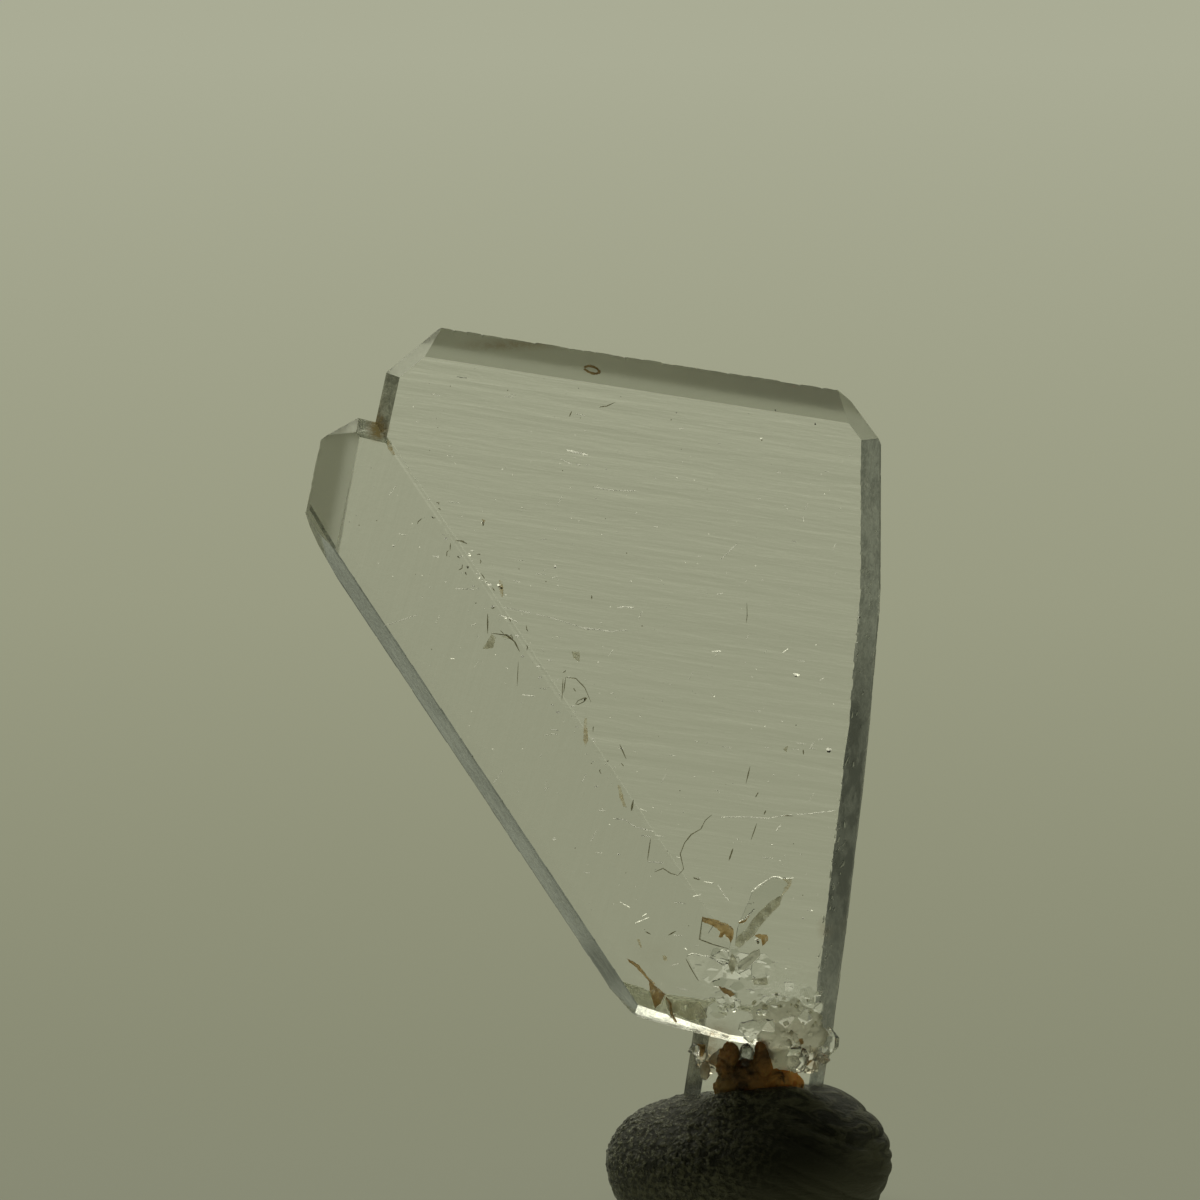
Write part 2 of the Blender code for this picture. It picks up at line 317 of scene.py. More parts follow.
SKINS = ["right_plate", "left_plate", "strip", "roof", "root", "druse", "edge", "flank"]
SKIN_OF = {"prism": "strip", "corner": "strip", "flank": "flank", "shoulder": "roof", "roof": "roof"}
rng = random.Random(7)


def cut_away(shape, place, normal):
    """Cuts off what lies beyond a plane and closes the cut, and gives the faces that close it."""
    parts = shape.verts[:] + shape.edges[:] + shape.faces[:]
    cut = bmesh.ops.bisect_plane(
        shape, geom=parts, dist=1e-6, plane_co=place, plane_no=normal, clear_outer=True
    )
    rim = [part for part in cut["geom_cut"] if isinstance(part, bmesh.types.BMEdge)]
    return bmesh.ops.edgeloop_fill(shape, edges=rim)["faces"]


def crystal(faces, middle, reach=30.0):
    """The convex body inside a set of faces, each a point on it, its outward normal and its skin."""
    shape = bmesh.new()
    bmesh.ops.create_cube(shape, size=reach)
    bmesh.ops.translate(shape, vec=middle, verts=shape.verts)
    for point, normal, skin in faces:
        for face in cut_away(shape, point, normal):
            face.material_index = SKINS.index(skin)
    bmesh.ops.recalc_face_normals(shape, faces=shape.faces)
    return shape


def outward_of(start, end):
    """The way out of the plate, in its own plane, across a piece of its rim."""
    along = Vector((end[0] - start[0], 0.0, end[1] - start[1])).normalized()
    return Vector((-along.z, 0.0, along.x))


def gable(start, end, ridge, kind):
    """The front and back faces that meet in a ridge from start to end, with the body on its right."""
    outward = outward_of(start, end)
    on_ridge = Vector((start[0], ridge, start[1]))
    lean = math.radians(LEAN[kind])
    through = Vector((0.0, math.sin(lean), 0.0))
    skin = SKIN_OF[kind]
    return [
        (on_ridge, math.cos(lean) * outward - through, skin),
        (on_ridge, math.cos(lean) * outward + through, skin),
    ]


def individual(rim, front, back, slope, side, shift, skin, middle, foot=None):
    """One crystal of the twin: its rim, its two plate faces and the composition plane."""
    faces = []
    for (start, kind, depth), (end, _, _) in zip(rim, rim[1:]):
        faces += gable(start, end, front + depth, kind)
    across = side * Vector((-math.sin(SEAM), 0.0, math.cos(SEAM)))
    faces.append((Vector((0.0, front, 0.0)), Vector((0.0, -1.0, 0.0)), skin))
    faces.append((Vector((0.0, back, 27.3)), Vector((0.0, 1.0, slope)).normalized(), skin))
    faces.append((Vector((NOTCH[0], 0.0, NOTCH[1])) + shift * across, across, skin))
    if foot:
        faces.append((Vector((0.0, 0.0, foot)), Vector((0.0, 0.0, -1.0)), "druse"))
    return crystal(faces, middle)


def on_line(shape, start, along, within=0.002):
    """The vertices that lie on a line."""
    found = []
    for vert in shape.verts:
        apart = vert.co - start
        if (apart - apart.dot(along) * along).length < within:
            found.append(vert)
    return found


def cut_near(shape, faces, place, normal):
    """Cuts some faces along a plane and leaves both halves."""
    parts = set(faces)
    for face in faces:
        parts.update(face.edges)
        parts.update(face.verts)
    bmesh.ops.bisect_plane(shape, geom=list(parts), dist=1e-5, plane_co=place, plane_no=normal)


def in_band(shape, start, along, push, band):
    """The narrow faces that cut_near has left on both sides of an edge."""
    found = set()
    for vert in on_line(shape, start, along):
        for face in vert.link_faces:
            if all(abs((v.co - start).dot(push)) < 1.02 * band for v in face.verts):
                found.add(face)
    return found


NICK_CHANCE = 0.3


def wear(shape, start, end, push, band, run, step, dark):
    """Breaks a straight edge into short runs that stand in a little, with a nick between some runs."""
    along = (end - start).normalized()
    length = (end - start).length
    for side in (-band, band):
        beside = {face for vert in on_line(shape, start, along) for face in vert.link_faces}
        cut_near(shape, beside, start + side * push, push)
    profile = []
    place = 0.25 * run
    while place < length - 0.25 * run:
        level = -step * rng.random()
        reach = run * rng.uniform(0.4, 1.5)
        profile.append((place, level))
        profile.append((place + 0.5 * reach, level + 0.25 * step * rng.random()))
        profile.append((place + reach, level - 0.15 * step))
        place += reach + 0.05
        if rng.random() < NICK_CHANCE:
            profile.append((place, -1.2 * step))
            place += 0.06
    profile = [(place, level) for place, level in profile if place < length - 0.02]
    for place, _ in profile:
        cut_near(shape, in_band(shape, start, along, push, band), start + place * along, along)
    shape.normal_update()
    for face in in_band(shape, start, along, push, band):
        # Painted shade: faces along a dark edge take the dark edge skin.
        if dark and face.normal.y > -0.98:
            face.material_index = SKINS.index("edge")
    for vert in on_line(shape, start, along):
        place = (vert.co - start).dot(along)
        near = min(profile, key=lambda entry: abs(entry[0] - place))
        if abs(near[0] - place) < 1e-3:
            vert.co += near[1] * push


def wear_rim(shape, rim, front, which, inner, band, run, step, dark=False):
    """Wears the ridge of one pair of rim faces or, if inner, the edge that it makes with the front."""
    start, kind, depth = rim[which]
    end = rim[which + 1][0]
    outward = outward_of(start, end)
    low = Vector((start[0], front + depth, start[1]))
    high = Vector((end[0], front + depth, end[1]))
    if inner:
        drop = Vector((0.0, -depth, 0.0)) - depth * math.tan(math.radians(LEAN[kind])) * outward
        low += drop
        high += drop
    wear(shape, low, high, outward, band, run, step, dark)


# A point's faces stand 51.8 degrees out from the axis: how far their way out goes across and along it.
POINT_ACROSS = 0.786
POINT_ALONG = 0.618
POINT_UNEVEN = 0.07


def small_crystal(centre, heading, tilt, roll, length, width, thickness, skin="root"):
    """A doubly ended hexagonal crystal: six prism faces and a six-sided point at each end."""
    turn = math.radians(heading)
    lift = math.radians(tilt)
    flat = Vector((math.cos(turn), 0.0, math.sin(turn)))
    axis = (math.cos(lift) * flat + Vector((0.0, -math.sin(lift), 0.0))).normalized()
    side = axis.cross(Vector((0.0, 1.0, 0.0))).normalized()
    up = side.cross(axis)
    middle = Vector(centre)
    faces = []
    for step in range(6):
        angle = math.radians(60 * step + roll)
        radial = math.cos(angle) * side + math.sin(angle) * up
        reach = 0.5 * math.hypot(width * math.cos(angle), thickness * math.sin(angle))
        faces.append((middle + reach * radial, radial, skin))
        for end in (1.0, -1.0):
            lesser = step % 2 == (end > 0.0)
            tip = middle + end * (0.5 * length + POINT_UNEVEN * width * lesser) * axis
            faces.append((tip, POINT_ACROSS * radial + end * POINT_ALONG * axis, skin))
    return crystal(faces, middle, reach=8.0)


def close_plate(shape, front, back, skin=0):
    """A thin closed plate between two rings of points. The front ring turns left, as seen."""
    front = [shape.verts.new(point) for point in front]
    back = [shape.verts.new(point) for point in back]
    made = [shape.faces.new(front), shape.faces.new(back[::-1])]
    for i in range(len(front)):
        j = (i + 1) % len(front)
        made.append(shape.faces.new((front[j], front[i], back[i], back[j])))
    for face in made:
        face.material_index = skin


BOSS_SINK = 0.12


def boss(skin, inset, corners):
    """A low crystal that stands out of the plate. Each corner is (x, z) and how far it stands out."""
    shape = bmesh.new()
    middle = Vector((0.0, 0.0))
    for x, z, _ in corners:
        middle += Vector((x, z)) / len(corners)
    top = []
    for x, z, out in corners:
        inward = inset * (middle - Vector((x, z))).normalized()
        top.append((x + inward.x, FRONT - out, z + inward.y))
    close_plate(shape, top, [(x, FRONT + BOSS_SINK, z) for x, z, _ in corners], SKINS.index(skin))
    bmesh.ops.recalc_face_normals(shape, faces=shape.faces)
    bmesh.ops.triangulate(shape, faces=shape.faces)
    return shape


def rough_ball(centre, radii, crumbs, subdivisions):
    """A ball drawn out and roughened. Each crumb is how high a noise stands and how fine it is."""
    shape = bmesh.new()
    bmesh.ops.create_icosphere(shape, subdivisions=subdivisions, radius=1.0)
    for vert in shape.verts:
        co = Vector(centre) + Vector([r * c for r, c in zip(radii, vert.co)])
        vert.co = co + sum(high * noise.noise(fine * co) for high, fine in crumbs) * vert.co
    return shape


def lump(centre, radii, rough, skin):
    """A rounded crystal with no clear faces."""
    shape = rough_ball(centre, radii, [(rough, 2.8), (0.6 * rough, 8.0), (0.35 * rough, 16.0)], 4)
    for face in shape.faces:
        face.material_index = SKINS.index(skin)
        face.smooth = True
    return shape


STUB_AXIS_POINT = (0.34, 5.0)
STUB_HALF_WIDTH = 2.20
STUB_ENDS = [
    ((0.0, -0.15, 0.0), (0.0, -1.0, 0.0)),
    ((0.0, 1.30, 0.0), (0.0, 1.0, 0.0)),
    ((0.0, 0.0, 2.20), (0.0, 0.0, -1.0)),
    ((0.0, 0.0, 7.0), (0.0, 0.0, 1.0)),
]


def stub():
    """The foot of the right individual, with the same prism faces as the rest of it."""
    axis = math.radians(RIGHT_AXIS)
    along = Vector((math.cos(axis), 0.0, math.sin(axis)))
    across = Vector((along.z, 0.0, -along.x))
    centre = Vector((STUB_AXIS_POINT[0], 0.0, STUB_AXIS_POINT[1]))
    faces = []
    for side in (1.0, -1.0):
        ridge = centre + side * STUB_HALF_WIDTH * across
        start = ridge + side * along
        faces += gable((start.x, start.z), (ridge.x, ridge.z), 0.72, "prism")
    for place, normal in STUB_ENDS:
        faces.append((Vector(place), Vector(normal), "root"))
    return crystal(faces, (0.0, 0.5, 4.5))


right = individual(
    RIGHT_RIM, FRONT, 0.66, 0.0368, 1.0, 0.0, "right_plate", (-2.0, 0.0, 17.0), foot=5.35
)
left = individual(LEFT_RIM, LEFT_FRONT, 1.02, 0.0258, -1.0, 0.02, "left_plate", (-8.0, 0.0, 15.0))
wear_rim(right, RIGHT_RIM, FRONT, 2, False, 0.14, 0.45, 0.034)
wear_rim(right, RIGHT_RIM, FRONT, 4, True, 0.05, 0.30, 0.030)
for which in (5, 6, 7):
    wear_rim(right, RIGHT_RIM, FRONT, which, True, 0.06, 0.28, 0.045)
# Dark worn edges: the faces along them take the dark edge skin, painted shade.
for which in (4, 5, 6, 7):
    wear_rim(right, RIGHT_RIM, FRONT, which, False, 0.05, 0.60, 0.014, dark=True)
wear_rim(left, LEFT_RIM, LEFT_FRONT, 5, False, 0.10, 0.60, 0.035)
# Dark worn edges of the left flank: painted shade.
wear_rim(left, LEFT_RIM, LEFT_FRONT, 3, False, 0.05, 0.80, 0.014, dark=True)
wear_rim(left, LEFT_RIM, LEFT_FRONT, 3, True, 0.06, 0.50, 0.014, dark=True)

# Low crystals let into the front at the root: skin, bevel, and corners (x, z, height).
BOSSES = [
    ("root", 0.05, [
        (-1.54, 9.63, 0.1), (-0.54, 9.29, 0.1), (-0.62, 8.58, 0.1), (-1.62, 8.89, 0.1),
    ]),
    ("root", 0.05, [
        (-0.48, 8.77, 0.16), (-0.42, 9.26, 0.06), (0.06, 10.45, 0.04), (0.74, 10.94, 0.03),
        (1.38, 10.89, 0.08), (1.06, 10.36, 0.15), (0.58, 9.64, 0.2), (0.16, 9.1, 0.2),
        (-0.19, 8.77, 0.18),
    ]),
    ("root", 0.04, [
        (-2.05, 8.35, 0.05), (-1.86, 8.45, 0.09), (-1.25, 8.34, 0.11), (-0.77, 8.03, 0.1),
        (-0.83, 7.67, 0.05), (-1.22, 7.51, 0.09), (-1.63, 7.51, 0.05),
    ]),
    ("root", 0.04, [
        (-1.25, 8.38, 0.12), (-1.06, 8.48, 0.14), (-0.88, 8.56, 0.12), (-0.66, 8.51, 0.14),
        (-0.67, 8.22, 0.12), (-1.22, 8.26, 0.13),
    ]),
    ("root", 0.06, [
        (0.06, 8.22, 0.12), (0.51, 8.16, 0.1), (0.58, 7.45, 0.05), (0.16, 7.42, 0.08), (0, 7.71, 0.12),
    ]),
    ("druse", 0.03, [
        (-0.38, 7.93, 0.16), (-0.45, 8.09, 0.16), (0.1, 8.51, 0.18), (0.32, 8.58, 0.18),
        (0.35, 8.38, 0.18), (-0.19, 7.87, 0.16),
    ]),
    ("root", 0.03, [
        (-3.9, 8.26, 0.03), (-3.65, 8.13, 0.05), (-3.2, 7.61, 0.07), (-2.75, 7.19, 0.08),
        (-2.53, 6.74, 0.07), (-2.34, 6.16, 0.03), (-2.88, 6.67, 0.05), (-3.17, 6.9, 0.06),
        (-3.42, 7.32, 0.06), (-3.74, 7.8, 0.05),
    ]),
    ("root", 0.02, [
        (-1.02, 7.42, 0.04), (-0.9, 7.38, 0.06), (-0.58, 7.22, 0.07), (-0.48, 7.06, 0.04),
        (-0.7, 7.06, 0.05), (-0.93, 7.22, 0.06),
    ]),
    ("root", 0.05, [
        (-0.54, 8.29, 0.1), (-0.35, 8.38, 0.13), (-0.26, 8.09, 0.12), (-0.42, 7.77, 0.1),
        (-0.61, 7.9, 0.1),
    ]),
    ("root", 0.04, [
        (0.51, 8.09, 0.04), (0.8, 8.19, 0.06), (0.9, 7.48, 0.05), (0.61, 7.38, 0.03),
    ]),
]
# Lips where the two individuals meet: from and to how far below the notch, half width and height.
SEAM_LIPS = [(0.6, 3.8, 0.035, 0.006), (4.0, 7.3, 0.025, 0.004), (7.4, 10.7, 0.04, 0.006)]


def seam_point(along, aside=0.0):
    """The point (x, z) at a distance down the composition line from the notch, and off to its right."""
    x = NOTCH[0] - along * math.cos(SEAM) + aside * math.sin(SEAM)
    return x, NOTCH[1] - along * math.sin(SEAM) - aside * math.cos(SEAM)


for near, far, half, out in SEAM_LIPS:
    corners = [(near, -half, 0.001), (far, -half, 0.001), (far, half, out), (near, half, out)]
    BOSSES.append(("right_plate", 0.0, [(*seam_point(t, aside), high) for t, aside, high in corners]))

# Rounded crystals and milky crusts of the root: centre (x, y, z), half sizes, roughness and skin.
LUMPS = [
    ((1.15, -0.72, 6.20), (1.15, 0.24, 0.80), 0.12, "druse"),
    ((0.55, -0.74, 6.45), (0.55, 0.24, 0.42), 0.10, "druse"),
    ((1.75, -0.62, 5.75), (0.75, 0.36, 0.60), 0.12, "druse"),
    ((0.80, -0.78, 5.60), (0.62, 0.30, 0.52), 0.12, "druse"),
    ((1.10, -0.78, 5.05), (0.55, 0.32, 0.50), 0.12, "druse"),
    ((0.05, -0.82, 6.02), (0.40, 0.20, 0.28), 0.08, "root"),
    # A lump in the dark edge skin: painted shade.
    ((-0.08, -0.99, 5.22), (0.23, 0.24, 0.31), 0.06, "edge"),
    ((-0.12, -1.10, 4.94), (0.15, 0.14, 0.20), 0.02, "root"),
    ((1.52, -0.96, 5.02), (0.38, 0.32, 0.46), 0.03, "root"),
    ((0.40, -0.94, 6.55), (0.20, 0.16, 0.12), 0.03, "root"),
    ((-1.42, -0.40, 4.55), (0.17, 0.20, 0.30), 0.05, "druse"),
    ((-1.05, -0.45, 4.92), (0.24, 0.22, 0.22), 0.06, "druse"),
]

# Root crystals: centre (x, y, z), heading in the plate's plane from +X, tilt out of it towards the
# front, roll about the long axis, length, width and thickness.
ROOT_CRYSTALS = [
    ((2.55, -0.10, 5.42), 86, 0, 26, 1.02, 0.62, 0.44),
    ((1.42, -0.62, 5.32), -70, 48, 10, 0.92, 0.78, 0.74),
    ((1.98, -0.30, 4.86), -58, 30, 18, 0.95, 0.52, 0.50),
    ((-1.50, 0.12, 5.02), -96, 30, 6, 0.90, 0.42, 0.40),
    ((0.58, -0.78, 6.10), -40, 40, 22, 0.80, 0.55, 0.50),
    ((1.16, -0.80, 6.28), 24, 36, 14, 0.74, 0.50, 0.46),
    ((1.72, -0.76, 6.34), 66, 30, 33, 0.82, 0.52, 0.48),
    ((2.12, -0.58, 6.62), 40, 24, 8, 0.70, 0.44, 0.42),
    ((0.02, -0.66, 5.86), -88, 34, 12, 0.86, 0.46, 0.44),
    ((-0.78, -0.50, 5.92), -76, 26, 20, 0.66, 0.40, 0.38),
]

# Swarms of small crystals: how many, centre (x, z), half width and height, least and most y, least
# and most length, and skin.
SWARMS = [
    (96, (1.05, 5.85), (1.25, 1.00), (-1.06, -0.80), (0.10, 0.28), "druse"),
    (10, (0.90, 6.75), (1.30, 0.35), (-0.90, -0.80), (0.10, 0.24), "druse"),
    (6, (-0.82, 6.75), (0.52, 0.34), (-0.84, -0.78), (0.20, 0.36), "root"),
    (8, (-1.35, 4.95), (0.45, 0.60), (-0.30, -0.10), (0.30, 0.60), "root"),
    (8, (1.95, 5.10), (0.55, 0.50), (-0.60, -0.20), (0.35, 0.70), "root"),
]

# Where small tilted facets crowd on the front: how many, centre (x, z), half width and height.
FACETS = [
    (48, (-0.60, 7.95), (1.35, 0.68)),
    (22, (-0.85, 6.85), (0.60, 0.42)),
    (18, (1.00, 6.95), (1.30, 0.45)),
]


def scatter(centre, half):
    """A random point (x, z) of an ellipse, more often near its middle."""
    turn = rng.uniform(0.0, 2.0 * math.pi)
    reach = rng.uniform(0.0, 1.0)
    return centre[0] + half[0] * reach * math.cos(turn), centre[1] + half[1] * reach * math.sin(turn)


def swarm():
    """The small crystals of all swarms, and the tilted facets on the front."""
    grown = []
    for count, centre, half, depths, lengths, skin in SWARMS:
        for _ in range(count):
            x, z = scatter(centre, half)
            length = rng.uniform(*lengths)
            width = length * rng.uniform(0.45, 0.8)
            thickness = width * rng.uniform(0.7, 1.0)
            place = (x, rng.uniform(*depths), z)
            turn = rng.uniform(-180, 180)
            shape = small_crystal(
                place, turn, rng.uniform(5, 50), rng.uniform(0, 60), length, width, thickness, skin
            )
            grown.append(shape)
    for count, centre, half in FACETS:
        for _ in range(count):
            x, z = scatter(centre, half)
            size = rng.uniform(0.08, 0.26)
            turn = rng.uniform(0.0, 6.28)
            tilt = Vector((rng.uniform(-0.45, 0.45), rng.uniform(-0.45, 0.45)))
            sides = rng.choice((4, 5, 5, 6))
            corners = []
            for i in range(sides):
                angle = turn + 6.283 * (i + rng.uniform(-0.2, 0.2)) / sides
                off = Vector((1.2 * size * math.cos(angle), 0.8 * size * math.sin(angle)))
                corners.append((x + off.x, z + off.y, max(0.004, 0.05 + tilt.dot(off))))
            grown.append(boss("root", 0.02, corners))
    return grown


def grow_together(name, body, others, materials):
    """Fuses closed shapes into one closed object and scales it to metres."""
    core = new_object("core", body, materials)
    spare = [core]
    for shape in others:
        piece = new_object("bud", shape, materials)
        spare.append(piece)
        fuse = core.modifiers.new("fuse", "BOOLEAN")
        fuse.operation = "UNION"
        fuse.solver = "MANIFOLD"
        fuse.object = piece
    bpy.context.view_layer.update()
    graph = bpy.context.evaluated_depsgraph_get()
    shape = bmesh.new()
    shape.from_mesh(core.evaluated_get(graph).data)
    for thing in spare:
        mesh = thing.data
        bpy.data.objects.remove(thing)
        bpy.data.meshes.remove(mesh)
    return new_object(name, shape, materials, MM)


# Quartz. Clear and colourless, with fine growth lines across each individual, parallel to its roof.
# The strips are etched and mottled grey, and painted shade darkens them lower down and in soft patches.
# The roof is frosted, rust has soaked in at the notch and the root, and the crust of root crystals is
# milky.

# How many times longer the growth lines are than wide, and soft patches of rust, milk and painted shade:
# centre (x, z), half width and half height, and strength.
DRAWN_OUT = 13
RUST = [
    (-11.90, 25.40, 0.42, 0.50, 2.6),
    (-11.85, 26.0, 0.28, 0.60, 0.5),
    (-7.6, 28.0, 2.2, 0.22, 0.8),
    (-3.1, 8.3, 0.9, 0.55, 0.10),
    (-1.3, 4.9, 0.55, 0.75, 1.0),
    (1.2, 5.9, 1.5, 0.9, 0.30),
    (2.1, 4.8, 0.6, 0.6, 0.7),
    (2.45, 9.1, 0.35, 0.35, 0.5),
    (-1.1, 5.75, 0.9, 0.35, 0.6),
]
MILK = [
    (1.2, 6.9, 1.9, 1.2, 0.9),
    (-1.1, 7.2, 1.0, 0.7, 0.5),
]
# Painted shade: patches where the strips are darkened.
PAINTED_STRIP_SHADE = [
    (3.2, 12.6, 1.6, 7.2, 2.0),
    (-4.7, 7.9, 1.1, 1.6, 1.5),
]


def spots(spot, patches):
    """Soft patches, 1 at the middle of each before its strength is applied, added up."""
    total = None
    for x, z, wide, high, strength in patches:
        near = spot.placed((x * MM, 0.0, z * MM), scale=(wide * MM, 1.0, high * MM))
        settings = {"gradient_type": "SPHERICAL"}
        one = near.node("ShaderNodeTexGradient", settings, {"Vector": near}, "Fac") * strength
        total = one if total is None else total + one
    return total


CLEAR = (0.99, 0.99, 0.965)
RUST_BROWN = (0.40, 0.23, 0.07)


def quartz(
    name, axis, lines, bands, etching, dull=0.0, mottle=0.0, tint=CLEAR, milky=0.0, streaky=False
):
    """Lines, bands and etching are heights in millimetres, dull is roughness, the others are 0 to 1."""
    material, shader, spot = new_material(name)
    turn = math.radians(90.0 - axis)
    drawn = spot.placed(turn=turn, scale=(DRAWN_OUT * MM, DRAWN_OUT * MM, MM))
    plain = spot.placed(turn=turn)
    height = lines * drawn.grain(2.6, 6.0, 0.62, 0.25) + bands * drawn.grain(0.45, 2.0, 0.5, 0.4)
    milk = spots(spot, MILK).low(1.0)
    height = height + etching * plain.grain(2.6, 5.0, 0.7, 0.6) + milk * plain.grain(11.0, 3.0, 0.6) * 0.035
    colour = (*tint, 1)
    if mottle:
        grey = plain.grain(7.0, 4.0, 0.8).slide(0.38, 0.62) * 0.50
        blotches = drawn.grain(2.6, 4.0, 0.7) if streaky else plain.grain(1.1, 4.0, 0.65)
        grey = grey + blotches.slide(0.42, 0.58) * 0.42
        # Painted light: the strips are lighter towards the top.
        grey = grey + spot.dot((0, 0, 1)).slide(7 * MM, 23 * MM, "LINEAR") * 0.20
        shade = 1.0 - 0.68 * mottle
        colour = grey.mix((shade, 1.03 * shade, shade, 1), (*tint, 1))
        # Painted shade: the strips darken in soft patches, blotched with the mottle.
        painted_shade = spots(spot, PAINTED_STRIP_SHADE).low(1.0) * (0.55 + 0.45 * blotches.slide(0.42, 0.58))
        colour = painted_shade.mix(colour, (0.46 * shade, 0.49 * shade, 0.48 * shade, 1))
    speck = plain.grain(5.0, 4.0, 0.8).slide(0.35, 0.62)
    rust = (spots(spot, RUST) * (0.35 + 0.65 * speck)).low(1.0)
    drive(shader, {
        "Base Color": rust.mix(colour, (*RUST_BROWN, 1)),
        "Transmission Weight": 1.0 - milky,
        "IOR": 1.544,
        "Normal": height.relief(),
        "Roughness": milk * (0.25 + 0.25 * speck) + dull,
    })
    inputs = {"Color": (0.85, 0.86, 0.72, 1), "Density": 60.0}
    absorb = spot.node("ShaderNodeVolumeAbsorption", {}, inputs)
    end = material.node_tree.nodes["Material Output"]
    material.node_tree.links.new(absorb.socket, end.inputs["Volume"])
    return material


LEFT_AXIS = RIGHT_AXIS + TWIN_ANGLE
FLANK_LINES = 33.2
quartz_skins = [
    quartz("quartz_right", RIGHT_AXIS, 0.0105, 0.05, 0.0012),
    quartz("quartz_left", LEFT_AXIS, 0.011, 0.05, 0.0025, tint=(0.94, 0.94, 0.915)),
    quartz("quartz_strip", RIGHT_AXIS, 0.008, 0.0, 0.03, dull=0.06, mottle=1.0),
    quartz("quartz_roof", RIGHT_AXIS, 0.010, 0.0, 0.004, dull=0.50, tint=(0.99, 0.985, 0.95)),
    quartz("quartz_root", RIGHT_AXIS, 0.004, 0.0, 0.008, dull=0.02),
    quartz("quartz_druse", RIGHT_AXIS, 0.0, 0.0, 0.06, dull=0.75, tint=(0.88, 0.86, 0.74), milky=0.25),
    # The edge skin is dark glass, painted shade, for dark worn edges and one root lump.
    quartz("quartz_painted_shade_edge", RIGHT_AXIS, 0.0, 0.0, 0.01, dull=0.2, mottle=0.5, tint=(0.22, 0.23, 0.21)),
    quartz("quartz_flank", FLANK_LINES, 0.006, 0.0, 0.02, dull=0.06, mottle=0.88, streaky=True),
]
buds = [left, stub()]
buds += [boss(*shape) for shape in BOSSES]
buds += [lump(*shape) for shape in LUMPS]
buds += [small_crystal(*shape) for shape in ROOT_CRYSTALS]
twin = grow_together("quartz_twin", right, buds + swarm(), quartz_skins)
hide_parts("japan_law_twin")
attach(twin, "root")
